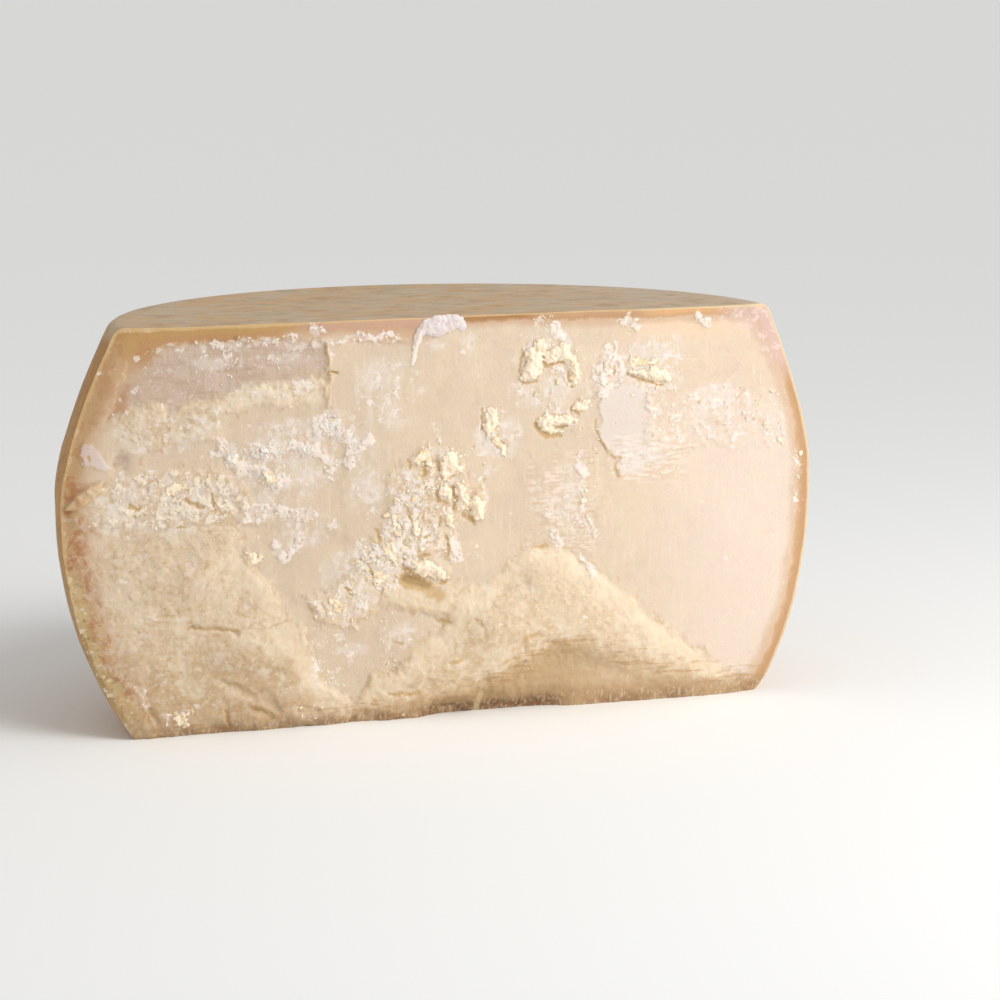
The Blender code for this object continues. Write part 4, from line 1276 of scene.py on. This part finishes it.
@dataclass(frozen=True)
class Finish:
    """A finish of layered colours over a Principled shader; sizes in mm."""

    name: str
    base: str
    layers: tuple[Layer, ...] = ()
    maps: tuple[str, ...] = ()
    roughness: float = 0.62
    scatter: float = 0.0
    scatter_mm: float = 2.0
    scatter_tint: Place = (1.0, 0.6, 0.35)
    bump_grain: str = "grit"
    bump_mm: float = 0.4
    bump_strength: float = 0.4
    shine: float = 0.5

    def sources(self, tree: bpy.types.NodeTree) -> dict[str, Socket]:
        """Adds what masks can read: stored maps, noises and the place across, up and back in mm."""
        place = add_node(tree, "ShaderNodeTexCoord", {}, {}).outputs["Object"]
        in_mm = add_node(tree, "ShaderNodeVectorMath", {"operation": "SCALE"}, {0: place, "Scale": 1.0 / MM})
        apart = add_node(tree, "ShaderNodeSeparateXYZ", {}, {0: in_mm.outputs[0]})
        found = {"across": apart.outputs["X"], "up": apart.outputs["Z"], "back": apart.outputs["Y"]}
        for name in self.maps:
            found[name] = add_node(tree, "ShaderNodeAttribute", {"attribute_name": name}, {}).outputs["Fac"]
        masks = [mask for laid in self.layers for mask in laid.masks]
        used = {self.bump_grain} | {mask.source for mask in masks} | {mask.by for mask in masks if mask.fray}
        for name, grain in TEXTURES.items():
            if name in used:
                squeezed = add_node(
                    tree, "ShaderNodeVectorMath", {"operation": "DIVIDE"}, {0: place, 1: grain.stretch}
                )
                sockets = {"Vector": squeezed.outputs[0], "Scale": per_metre(grain.size),
                           "Detail": grain.detail, "Roughness": TEXTURE_ROUGHNESS}
                found[name] = add_node(tree, "ShaderNodeTexNoise", {}, sockets).outputs["Fac"]
        return found

    def share(self, tree: bpy.types.NodeTree, found: dict[str, Socket], mask: Mask) -> Socket:
        """Adds the nodes of one mask.

        Args:
            tree: the material's node tree.
            found: what masks can read, by name.
            mask: the mask.

        Returns:
            The socket that gives its share, 0 to 1.
        """
        value = found[mask.source]
        if mask.fray:
            swing = {0: found[mask.by], 1: FRAY_SWING * mask.fray, 2: -0.5 * FRAY_SWING * mask.fray}
            shift = add_node(tree, "ShaderNodeMath", {"operation": "MULTIPLY_ADD"}, swing).outputs[0]
            value = add_node(tree, "ShaderNodeMath", {"operation": "ADD"}, {0: value, 1: shift}).outputs[0]
        return add_node(
            tree, "ShaderNodeMapRange", {"interpolation_type": "SMOOTHSTEP"},
            {"Value": value, "From Min": mask.start, "From Max": mask.end},
        ).outputs[0]

    def build(self) -> bpy.types.Material:
        """Builds the material."""
        material = bpy.data.materials.new(self.name)
        material.use_nodes = True
        tree = material.node_tree
        shader = tree.nodes["Principled BSDF"]
        found = self.sources(tree)
        shares: dict[Mask, Socket] = {}
        colour: object = linear(self.base)
        for laid in self.layers:
            share: object = laid.strength
            for mask in laid.masks:
                if mask not in shares:
                    shares[mask] = self.share(tree, found, mask)
                factors = {0: share, 1: shares[mask]}
                share = add_node(tree, "ShaderNodeMath", {"operation": "MULTIPLY"}, factors).outputs[0]
            colour = add_node(
                tree, "ShaderNodeMix", {"data_type": "RGBA", "blend_type": laid.blend},
                {0: share, 6: colour, 7: linear(laid.colour)},
            ).outputs[2]
        if self.layers:
            tree.links.new(colour, shader.inputs["Base Color"])
        else:
            shader.inputs["Base Color"].default_value = colour
        values = {
            "Roughness": self.roughness, "Specular IOR Level": self.shine, "Subsurface Weight": self.scatter,
            "Subsurface Radius": self.scatter_tint, "Subsurface Scale": self.scatter_mm * MM,
        }
        for name, value in values.items():
            shader.inputs[name].default_value = value
        bump = add_node(
            tree, "ShaderNodeBump", {},
            {"Strength": self.bump_strength, "Distance": self.bump_mm * MM,
             "Height": found[self.bump_grain]},
        )
        tree.links.new(bump.outputs[0], shader.inputs["Normal"])
        return material


@dataclass(frozen=True)
class AgedPaste(Finish):
    """Hard aged cheese paste, partly cut by a wire and partly broken.

    Fat and white protein scatter light a little below the surface, so it is matt with a soft
    glow; breaks look creamier and yellower than the cut plane, and it dries amber by the rind.
    """

    name: str = "aged_paste"
    base: str = "D9C5AD"
    layers: tuple[Layer, ...] = PASTE_LAYERS
    maps: tuple[str, ...] = (
        "amber", "line", "broken", "grey", "pale", "golden", "crease", "crumbly", "flaked", "cover", "veil",
        "foot", "nook",
    )
    scatter: float = 0.6
    scatter_mm: float = 3.0
    bump_mm: float = 0.5


@dataclass(frozen=True)
class RubbedRind(Finish):
    """Hard natural rind, brushed and rubbed over years: waxy gold and brown, greyer on the top."""

    name: str = "rubbed_rind"
    base: str = "C89558"
    layers: tuple[Layer, ...] = RIND_LAYERS
    roughness: float = 0.6
    shine: float = 0.2
    bump_grain: str = "dots"
    bump_mm: float = 0.8


@dataclass(frozen=True)
class LooseCrumb(Finish):
    """Dry crumbs and flakes of paste: paler than the face, because air shows between the grains; on the
    flakes, painted shade turns the root golden.
    """

    name: str = "loose_crumb"
    base: str = "D9B27B"
    layers: tuple[Layer, ...] = (
        layer("ECCFA6", 1.0, tone=(0.05, 0.35)),
        layer("F6E3CB", 1.0, Mask("tone", 0.25, 0.65, 0.2, "specks")),
        layer("F0E5DC", 0.85, across=(-36, -50), up=(148, 158), dots=(0.62, 0.5)),
        layer("DBBD8C", 0.25, dots=(0.56, 0.7)),
    )
    maps: tuple[str, ...] = ("tone",)
    roughness: float = 0.7
    scatter: float = 0.3


@dataclass(frozen=True)
class WaxyCurl(Finish):
    """A curl of dried fat pulled off the rind: lilac white, slightly glossy, with a soft glow."""

    name: str = "waxy_curl"
    base: str = "DACBC7"
    layers: tuple[Layer, ...] = (
        layer("E8DDD9", 0.8, patches=(0.44, 0.6)),
        layer("F1E3CE", 0.7, across=(-15, -20)),
        layer("DCC6B4", 0.3, dots=(0.55, 0.7)),
    )
    roughness: float = 0.45
    scatter: float = 0.35


@dataclass(frozen=True)
class StudioPaper(Finish):
    """Matt white background paper, which gives an even pale floor."""

    name: str = "studio_paper"
    base: str = "FAFAF8"
    roughness: float = 0.9
    bump_mm: float = 0.1
    bump_strength: float = 0.05


@dataclass
class HalfWheel:
    """The body of the half wheel: the barrel with its front taken away along the broken face."""

    barrel: Barrel
    face: BrokenFace
    kept_share: float = 0.44
    sharp_from: float = 58.0

    def build(self) -> None:
        """Builds the body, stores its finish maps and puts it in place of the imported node."""
        thinning = {"ratio": self.kept_share, "use_collapse_triangulate": True}
        block = modified(self.face.block(), "DECIMATE", thinning)
        wheel = self.barrel.build()
        paste = AgedPaste()
        materials = (RubbedRind().build(), paste.build())
        for mesh in (wheel, block):
            for material in materials:
                mesh.materials.append(material)
        block.polygons.foreach_set("material_index", np.ones(len(block.polygons), np.int32))
        cutter = link_object("front_block", block)
        splitting = {"operation": "DIFFERENCE", "solver": "MANIFOLD", "object": cutter}
        mesh = modified(wheel, "BOOLEAN", splitting)
        bpy.data.objects.remove(cutter)
        mesh.shade_smooth()
        mesh.set_sharp_from_angle(angle=math.radians(self.sharp_from))
        u, v, _ = self.barrel.face_places(vertex_array(mesh))
        for name in paste.maps:
            write_values(mesh, name, self.face.read(name, u, v))
        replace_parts(show_piece("half_wheel_body", mesh), NODE)


@dataclass(frozen=True)
class Bed:
    """A patch of loose crumbs on the face: outline, how many, and their half widths in mm."""

    outline: list[Point]
    count: int
    smallest: float = 0.25
    largest: float = 1.2
    cover: float = 0.35


CRUMB_BEDS = [
    Bed(CRUMB_BED, 1800, 0.25, 1.2, 0.5),
    Bed(path(-50, 106, -35, 130, -20, 135, -14, 110, -20, 84, -48, 82, -62, 88), 700, 0.3, 1.5, 0.72),
    Bed(path(-42, 132, -30, 150, -8, 160, 6, 150, 8, 126, -6, 118, -30, 120), 400, cover=0.55),
    Bed(around(-60, -35, 130, 148), 80, 0.25, 0.7), Bed(around(-62, -40, 84, 110), 160),
    Bed(around(-137, -126, 153, 165), 130, cover=0.75),
    Bed(around(-120, -108, 155, 164), 100, cover=0.75), Bed(around(-108, -98, 160, 166), 50, cover=0.6),
    Bed(around(-98, -85, 160, 165), 60, cover=0.7), Bed(around(-88, -76, 158, 163), 60, cover=0.7),
    Bed(around(-80, -65, 168, 180), 140, cover=0.8), Bed(around(-116, -104, 142, 152), 120, cover=0.75),
    Bed(around(-80, -70, 146, 151), 30, cover=0.6),
    Bed(path(-70, 150, -60, 162, -56, 160, -66, 148), 40, cover=0.7),
    Bed(path(-204, 120, -204, 148, -186, 156, -135, 151, -119, 138, -130, 123, -170, 118), 360, 0.2, 0.9,
        0.52),
    Bed(path(-172, 137, -140, 150, -122, 139, -120, 126, -150, 124, -176, 128), 160, 0.2, 0.9, 0.62),
    Bed(SCRAPED_HOLLOW, 260, 0.2, 0.8, 0.2), Bed(around(-150, -75, 216, 228), 160, 0.22, 0.7, 0.34),
    Bed(around(-200, -150, 205, 222), 80, 0.2, 0.6, 0.22), Bed(UPPER_RIDGE, 160, 0.2, 0.6, 0.3),
    Bed(around(-140, -122, 216, 226), 60, 0.2, 0.6, 0.6), Bed(around(-85, -75, 227, 234), 40, cover=0.8),
    Bed(around(-60, -30, 219, 226), 80, cover=0.5), Bed(around(50, 66, 222, 235), 70, cover=0.5),
    Bed(around(104, 116, 222, 230), 50), Bed(around(151, 158, 223, 231), 24),
    Bed(around(164, 180, 184, 193), 80), Bed(around(180, 191, 165, 179), 80),
    Bed(around(191, 209, 150, 184), 120), Bed(around(211, 219, 108, 146), 70),
    Bed(around(75, 84, 108, 152), 110), Bed(path(48, 124, 56, 126, 92, 100, 86, 92), 130, 0.25, 0.8),
    Bed(around(42, 80, 186, 222), 260), Bed(around(17, 34, 150, 182), 90),
    Bed(around(48, 84, 163, 183), 90), Bed(around(86, 140, 182, 212), 380),
    Bed(LEAF_SPREAD, 300, 0.2, 0.9, 0.4),
    Bed(path(86, 192, 92, 208, 100, 212, 105, 208, 103, 190, 95, 186), 120, 0.2, 0.8, 0.62),
    Bed(around(86, 92, 148, 190), 70), Bed(around(-12, 22, 113, 160), 220),
    Bed(around(-173, -157, 5, 16), 70, 0.4, 1.8), Bed(around(-98, -79, 4, 13), 50),
    Bed(around(-180, 140, 1, 9), 60, 0.2, 0.7), Bed(around(-46, -34, 28, 62), 120),
    Bed(around(-86, -60, 20, 60), 90, 0.25, 0.8),
    Bed(path(-121, 126, -95, 131, -86, 123, -90, 119, -96, 125, -119, 121), 90, 0.25, 0.8),
    Bed(path(-190, 20, 200, 20, 215, 140, 190, 222, -190, 222, -215, 140), 420, 0.2, 0.6, 0.02),
]


@dataclass
class Crumbs:
    """Loose crumbs that stick to the broken face, joined in one mesh for each of two sizes.

    Sizes are half widths in mm; the spans are what is drawn at random.
    """

    barrel: Barrel
    face: BrokenFace
    seed: int = 71
    coarse_from: float = 0.62
    small_ones: float = 3.0
    tries: int = 7
    clumps: float = 7.0
    clump_span: Span = (-0.4, 0.4)
    rind_clear: float = 1.5
    share: float = 0.25
    sunk: float = 0.12
    tone_span: Span = (0.3, 1.0)
    size_span: Span = (0.7, 1.3)
    corner_span: Span = (0.68, 1.32)
    tilt: float = 0.28
    flatness: Place = (1.15, 0.5, 0.8)

    def places(self, random: np.random.Generator) -> tuple[Array, Array, Array]:
        """Draws the crumbs' places across and up and their half widths, all in mm."""
        across, up, sizes = [], [], []
        for bed in CRUMB_BEDS:
            corners = np.array(bed.outline, float)
            tries = bed.count * self.tries
            u = random.uniform(corners[:, 0].min(), corners[:, 0].max(), tries)
            v = random.uniform(corners[:, 1].min(), corners[:, 1].max(), tries)
            clump = GRAINS.rough(u, v, self.clumps) + random.uniform(*self.clump_span, tries)
            kept = (inside(*ragged(u, v, BED_FRAY), bed.outline) > 0.0) & (clump > 0.0)
            kept &= self.barrel.rind_distance(u, v) > self.rind_clear
            chosen = np.flatnonzero(kept)[: int(self.share * bed.count)]
            across.append(u[chosen])
            up.append(v[chosen])
            draw = random.uniform(0.0, 1.0, len(chosen)) ** self.small_ones
            sizes.append(bed.smallest + (bed.largest - bed.smallest) * draw)
        return np.concatenate(across), np.concatenate(up), np.concatenate(sizes)

    def turns(self, random: np.random.Generator, count: int) -> Array:
        """Turns about the way out of the face, each a little tilted, one 3 x 3 matrix each."""
        spin = random.uniform(0.0, FULL_TURN, count)
        level = np.zeros((count, 3, 3))
        level[:, 0, 0] = level[:, 2, 2] = np.cos(spin)
        level[:, 0, 2] = np.sin(spin)
        level[:, 2, 0] = -np.sin(spin)
        level[:, 1, 1] = 1.0
        return level @ (np.eye(3) + self.tilt * random.normal(size=(count, 3, 3)))

    def lumps(
        self, random: np.random.Generator, middles: Array, sizes: Array, level: int
    ) -> tuple[Array, Array, Array]:
        """Makes one uneven lump at each middle.

        Args:
            random: the generator that shapes them.
            middles: where they go, in metres.
            sizes: their half widths in mm.
            level: how finely each is divided, 1 or 2.

        Returns:
            Vertex places, triangles and the lump number of each vertex.
        """
        count = len(middles)
        halves = random.uniform(*self.size_span, (count, 3)) * sizes[:, None] * self.flatness
        turns = self.turns(random, count)
        shape = bmesh.new()
        bmesh.ops.create_icosphere(shape, subdivisions=level, radius=1.0)
        ball = np.array([vertex.co for vertex in shape.verts])
        corners = np.array([[vertex.index for vertex in face.verts] for face in shape.faces])
        shape.free()
        stray = random.uniform(*self.corner_span, (count, len(ball), 1))
        lump = ball[None] * stray * halves[:, None, :] * MM
        places = np.einsum("nij,nkj->nki", turns, lump) + middles[:, None, :]
        first = (np.arange(count) * len(ball))[:, None, None]
        owner = np.repeat(np.arange(count), len(ball))
        return places.reshape(-1, 3), (corners[None] + first).reshape(-1, 3), owner

    def build(self) -> None:
        """Builds the fine and the coarse crumbs and dresses them."""
        random = np.random.default_rng(self.seed)
        u, v, sizes = self.places(random)
        middles = self.barrel.on_face(u, v, self.face.read("height", u, v) + self.sunk * sizes)
        tones = random.uniform(*self.tone_span, len(u))
        material = LooseCrumb().build()
        coarse = sizes >= self.coarse_from
        for name, level, chosen in (("fine_crumbs", 1, ~coarse), ("coarse_crumbs", 2, coarse)):
            places, corners, owner = self.lumps(random, middles[chosen], sizes[chosen], level)
            mesh = new_mesh(name, places, [corners])
            mesh.shade_flat()
            write_values(mesh, "tone", tones[chosen][owner])
            mesh.materials.append(material)
            show_piece(name, mesh)


@dataclass(frozen=True)
class Chunk:
    """A broken piece that stands on the face: its outline there and its height, in mm."""

    outline: list[Point]
    height: float


def chunks(*rows: tuple[float, ...]) -> list[Chunk]:
    """Chunks from rows: the height, then the outline's places across and up in turn."""
    return [Chunk(path(*places), height) for height, *places in rows]


CHUNKS = chunks(
    (3.2, 45, 213, 48, 214.5, 52, 212, 54.5, 209, 54.5, 205, 56, 202, 54, 200, 51, 197, 50.5, 195.5,
     45, 195, 41, 195.5, 41.5, 199, 43, 202, 44, 203.5, 45, 208, 43.8, 210.5),
    (1.4, 51, 213, 52, 219, 57, 220, 58, 214, 58, 211, 54.5, 209),
    (2.8, 56, 208, 58, 211, 62, 213, 66, 215, 70.5, 216, 72, 210, 69, 207, 64, 206, 60, 205, 56.5, 204),
    (1.6, 71, 214, 73.5, 209, 76.5, 206, 77, 200.5, 79, 197, 76.5, 195, 75, 191.5, 71, 191, 72, 195,
     73, 199, 72.5, 204, 71, 209),
    (3, 55, 175.3, 51, 172.5, 51, 170, 54.5, 168, 62, 168, 71, 168.5, 76.5, 170, 78, 172, 71, 173,
     64, 173.5),
    (1.9, 54, 169, 55, 166, 58, 164, 63, 163, 68, 164, 69, 165.5, 62, 166.5, 60, 168),
    (1.9, 73.5, 177, 75.5, 181, 80, 182.5, 84, 181, 82, 177, 79, 175.5),
    (2.2, 106.5, 197, 110, 199, 117, 198, 121, 199, 126, 200, 130, 198, 134, 195, 133, 191, 127, 190.5,
     121, 192, 117, 195, 111, 196),
    (1.2, 108, 206, 113, 206.5, 118, 204, 126, 205, 124, 201.5, 116, 201, 110, 201.5),
    (2.2, 20, 180, 24.5, 180.5, 28, 174, 28, 169, 25, 167, 22, 163.5, 19, 166, 19.5, 172),
    (1.2, 24, 163, 28, 164, 29, 161, 33, 158, 32, 151, 29, 155, 25, 158),
    (1.5, -23, 151, -20, 156, -17.5, 159.5, -14, 156, -12, 148, -14, 147, -16, 152, -18, 153, -21, 150),
    (2.2, -7, 153, -4, 154, -2, 158, 1, 154, 3, 150, 5, 146, 4, 143, -1, 142, -4, 140, -8, 142, -9, 146,
     -8, 150),
    (2.2, -8.5, 135, -6, 137, -2, 136, -1.5, 131, -3, 128.5, -7, 129, -8.5, 131),
    (2.6, 0.5, 138.5, 4, 138, 6, 134, 8, 130, 9, 124, 6, 121, 3, 122, 1.5, 126, 2, 131, 1, 134),
    (2.8, 10, 127.5, 12.5, 129.5, 15, 127, 19, 126, 18.5, 121, 17.5, 116, 13.5, 115, 10.5, 118, 9.5, 122),
    (1.2, -5, 119, -2, 120, -1.5, 112, -4, 111),
    (3.4, -25, 92, -19, 93.5, -14, 92.5, -10, 90, -7, 86, -4, 82, -8, 81, -14, 82.5, -20, 84, -24, 86,
     -25, 89),
    (1.2, -37, 121, -34, 122, -35, 112, -38, 110),
    (1.3, -42, 102, -38, 105, -34, 100, -36, 92, -41, 94),
    (1.2, -26, 116, -20, 116, -22, 108, -26, 109),
    (1.1, -50, 88, -44, 90, -42, 82, -48, 81),
    (1.1, -76, 74, -70, 74, -66, 66, -72, 66),
    (1.2, -124, 104, -120, 103, -114, 100, -118, 97, -123, 99),
    (1.1, -134, 161, -128, 160, -128, 155, -133, 156),
    (1, -80, 175, -74, 178, -67, 176, -72, 172),
    (1, -114, 150, -109, 149, -106, 143, -111, 144),
    (1, -172, 142, -164, 146, -158, 144, -165, 140),
    (1.3, -171, 12, -165, 13, -160, 9, -166, 8),
)

CURL_CHUNKS = chunks(
    (1.6, -25, 207, -24, 213, -23, 218, -20, 218, -21, 212, -23, 207),
    (2.6, -24, 217, -22, 226, -18, 232, -14, 234, -13, 229, -17, 224, -20, 217),
    (2.2, -18, 229, -15, 233, -8, 235.5, 3, 235.5, 7, 233, 5, 229, 0, 226, -4, 224, -10, 222.5, -14, 224,
     -17, 226),
    (1.2, 3, 235, 7, 234, 9, 228, 6, 225, 2, 228),
)

# Torn outline, steps and pits of a plate, and the waves that roughen and tone its skin
TORN_FRAY = Fray(1.9, 4.0, 4, 0.75)
STEP_WAVES = Waves(CRAGS, 1.0, 5.0, 4, 0.6, 0.7)
PLATE_PITS = Waves(PITS, 0.35, 2.2, 2)
SKIN_WAVES = Waves(GRAINS, 1.0, 2.6, 3, 0.6)
TONE_WAVES = Waves(GRAINS, 0.2, 5.0)


@dataclass
class Flakes:
    """Flakes and chunks that stand on the face, each a layered plate with a torn outline; in mm."""

    barrel: Barrel
    face: BrokenFace
    name: str = "standing_flakes"
    plates: list[Chunk] = field(default_factory=lambda: CHUNKS)
    finish: Finish = field(default_factory=LooseCrumb)
    step: float = 0.4
    voxel: float = 0.4
    quick_voxel: float = 1.6
    torn: float = TORN_FRAY.reach
    margin: float = 2.0
    stand: float = 0.72
    border_share: float = 0.35
    slope_reach: float = 2.6
    least_height: float = 0.3
    layered: float = 0.8
    step_edge: Span = (-0.15, 0.15)
    chip_size: float = 2.6
    chip_height: float = 0.4
    middle_layer: float = 0.6
    skin_chip_size: float = 1.7
    skin_chip_height: float = 0.6
    fray: float = 0.1
    slant: Span = (0.7, -0.6)
    root: float = 0.7
    kept_share: float = 0.6
    sharp_from: float = 40.0
    root_shade_edge: Span = (-0.2, 1.0)

    def plate(self, chunk: Chunk) -> tuple[Array, Array]:
        """Makes one closed plate, whose root goes a little way into the face.

        Args:
            chunk: the plate's outline and height.

        Returns:
            Vertex places in metres, and faces of four corners.
        """
        low = np.min(chunk.outline, axis=0) - self.margin
        high = np.max(chunk.outline, axis=0) + self.margin
        spans = [np.arange(low[axis], high[axis], self.step) for axis in (0, 1)]
        u, v = np.meshgrid(*spans, indexing="ij")
        depth_in = inside(*ragged(u, v, replace(TORN_FRAY, reach=self.torn)), chunk.outline)
        layers = rise(STEP_WAVES.over(u, v), *self.step_edge)
        layers = layers + self.chip_height * GRAINS.chips(u, v, self.chip_size) + PLATE_PITS.over(u, v)
        slope = self.border_share + (1.0 - self.border_share) * rise(depth_in, 0.0, self.slope_reach)
        out = self.stand * chunk.height * slope + self.layered * (layers - self.middle_layer)
        u, v, out = u.ravel(), v.ravel(), out.ravel()
        face_height = self.face.read("height", u, v)
        top = self.barrel.on_face(u, v, face_height + np.maximum(out, self.least_height))
        root = self.barrel.on_face(u, v, face_height - self.root)
        number = np.arange(u.size).reshape(depth_in.shape)
        cells = np.stack([number[:-1, :-1], number[1:, :-1], number[1:, 1:], number[:-1, 1:]], axis=-1)
        cells = cells[depth_in[:-1, :-1] > 0.0]
        starts = cells.ravel()
        ends = np.roll(cells, -1, axis=1).ravel()
        rim = ~np.isin(starts * u.size + ends, ends * u.size + starts)
        walls = np.stack([ends[rim], starts[rim], starts[rim] + u.size, ends[rim] + u.size], axis=-1)
        return np.concatenate([top, root]), np.concatenate([cells, cells[:, ::-1] + u.size, walls])

    def build(self) -> None:
        """Builds the plates as one rough skin, and dresses them."""
        points, faces, count = [], [], 0
        for chunk in self.plates:
            places, corners = self.plate(chunk)
            points.append(places)
            faces.append(corners + count)
            count += len(places)
        voxel = self.voxel * MM * 1.0
        mesh = new_mesh(self.name, np.concatenate(points), faces)
        mesh = modified(mesh, "REMESH", {"mode": "VOXEL", "voxel_size": voxel})
        self.roughen(mesh)
        mesh = modified(mesh, "DECIMATE", {"ratio": self.kept_share})
        mesh.shade_smooth()
        mesh.set_sharp_from_angle(angle=math.radians(self.sharp_from))
        self.store_tones_and_root_shade(mesh)
        mesh.materials.append(self.finish.build())
        show_piece(self.name, mesh)

    def roughen(self, mesh: Mesh) -> None:
        """Pushes the skin in and out along its normals, so that it looks broken."""
        places = vertex_array(mesh)
        normals = np.empty(len(mesh.vertices) * 3, np.float32)
        mesh.vertices.foreach_get("normal", normals)
        u, v, out = self.barrel.face_places(places)
        chips = self.skin_chip_height * PITS.chips(u - out, v + out, self.skin_chip_size)
        shift = SKIN_WAVES.over(u + self.slant[0] * out, v + self.slant[1] * out) + chips
        places += (self.fray * MM * shift)[:, None] * normals.reshape(-1, 3)
        mesh.vertices.foreach_set("co", places.astype(np.float32).ravel())
        mesh.update()

    def store_tones_and_root_shade(self, mesh: Mesh) -> None:
        """Stores how pale each place is: golden at the root in painted shade, and whiter towards the crest.
        """
        u, v, out = self.barrel.face_places(vertex_array(mesh))
        tone = rise(out - self.face.read("height", u, v), *self.root_shade_edge) + TONE_WAVES.over(u, v)
        write_values(mesh, "tone", np.clip(tone, 0.0, 1.0))


@dataclass
class Studio:
    """Floor, camera and soft lights, set up for the photograph's viewing angle; in metres."""

    distance: float = 2.0
    yaw: float = 17.554
    pitch: float = 9.154
    roll: float = -0.376
    focal_px: float = 3430.5
    image_px: float = 1000.0
    sensor_mm: float = 36.0
    sight: float = 200.0
    aim_x: float = 0.0286
    aim_z: float = 0.12598
    floor_rings: tuple[float, ...] = (0.5, 2.0, 8.0, 60.0)
    floor_sides: int = 64
    surround: float = 0.52
    sun: float = 0.9
    sun_angle: float = 26.0
    sun_place: Place = (1.2, -2.25, 2.55)
    box_watts: float = 8.6
    box_width: float = 1.2
    box_place: Place = (0.9, -0.85, 0.6)
    box_aim: Place = (0.1, -0.1, 0.12)

    def camera(self, barrel: Barrel) -> None:
        """Stands the camera where the photograph was taken from."""
        data = bpy.data.cameras.new("photo_camera")
        data.sensor_width = self.sensor_mm
        data.lens = self.focal_px / self.image_px * data.sensor_width
        data.clip_end = self.sight
        camera = bpy.data.objects.new("photo_camera", data)
        place = Matrix.Translation((barrel.axis_x + self.aim_x, barrel.axis_y, self.aim_z))
        for angle, axis in ((-self.yaw, "Z"), (90.0 - self.pitch, "X"), (self.roll, "Z")):
            place = place @ Matrix.Rotation(math.radians(angle), 4, axis)
        camera.matrix_world = place @ Matrix.Translation((0.0, 0.0, self.distance))
        bpy.context.collection.objects.link(camera)
        bpy.context.scene.camera = camera

    def floor(self) -> None:
        """Lays the pale floor, a wide disc."""
        sides = self.floor_sides
        angle = FULL_TURN * np.arange(sides) / sides
        points = [np.zeros((1, 3))]
        for radius in self.floor_rings:
            points.append(np.stack([radius * np.cos(angle), radius * np.sin(angle), 0.0 * angle], axis=-1))
        side = np.arange(sides)
        fan = np.stack([0 * side, 1 + side, 1 + (side + 1) % sides], axis=-1)
        walls = [wall[:, ::-1] for wall in joined_rings(len(self.floor_rings), sides, 1)]
        mesh = new_mesh("studio_floor", np.concatenate(points), [fan] + walls)
        mesh.materials.append(StudioPaper().build())
        link_object("studio_floor", mesh)

    def lights(self) -> None:
        """Sets an even white surround, a soft main light from above and a softbox at the right."""
        scene = bpy.context.scene
        scene.view_settings.view_transform = "Standard"
        world = bpy.data.worlds.new("studio")
        world.use_nodes = True
        surround = world.node_tree.nodes["Background"]
        surround.inputs["Color"].default_value = (1.0, 1.0, 1.0, 1.0)
        surround.inputs["Strength"].default_value = self.surround
        scene.world = world
        sun = bpy.data.lights.new("main_light", "SUN")
        sun.energy = self.sun
        sun.angle = math.radians(self.sun_angle)
        self.aim_light(sun, Vector(self.sun_place), Vector((0.0, 0.0, 0.0)))
        box = bpy.data.lights.new("softbox", "AREA")
        box.shape = "DISK"
        box.size = self.box_width
        box.energy = self.box_watts
        self.aim_light(box, Vector(self.box_place), Vector(self.box_aim))

    def aim_light(self, data: bpy.types.Light, place: Vector, aim: Vector) -> None:
        """Puts a light at a place and turns it to what it lights."""
        light = bpy.data.objects.new(data.name, data)
        light.location = place
        light.rotation_mode = "QUATERNION"
        light.rotation_quaternion = (aim - place).to_track_quat("-Z", "Y")
        bpy.context.collection.objects.link(light)

    def build(self, barrel: Barrel) -> None:
        """Sets the whole studio up."""
        self.camera(barrel)
        self.floor()
        self.lights()


def main() -> None:
    """Builds the studio, the body and the loose pieces in order."""
    logging.basicConfig(level=logging.INFO, format="%(name)s: %(message)s")
    barrel = Barrel.from_frame()
    Studio().build(barrel)
    face = BrokenFace(barrel)
    LOG.info("face: %d x %d places", len(face.across), len(face.up))
    HalfWheel(barrel, face).build()
    Flakes(barrel, face).build()
    Flakes(barrel, face, "waxy_curl", CURL_CHUNKS, WaxyCurl(), torn=0.5, layered=0.3, fray=0.05).build()
    Crumbs(barrel, face).build()


if __name__ == "__main__":
    main()
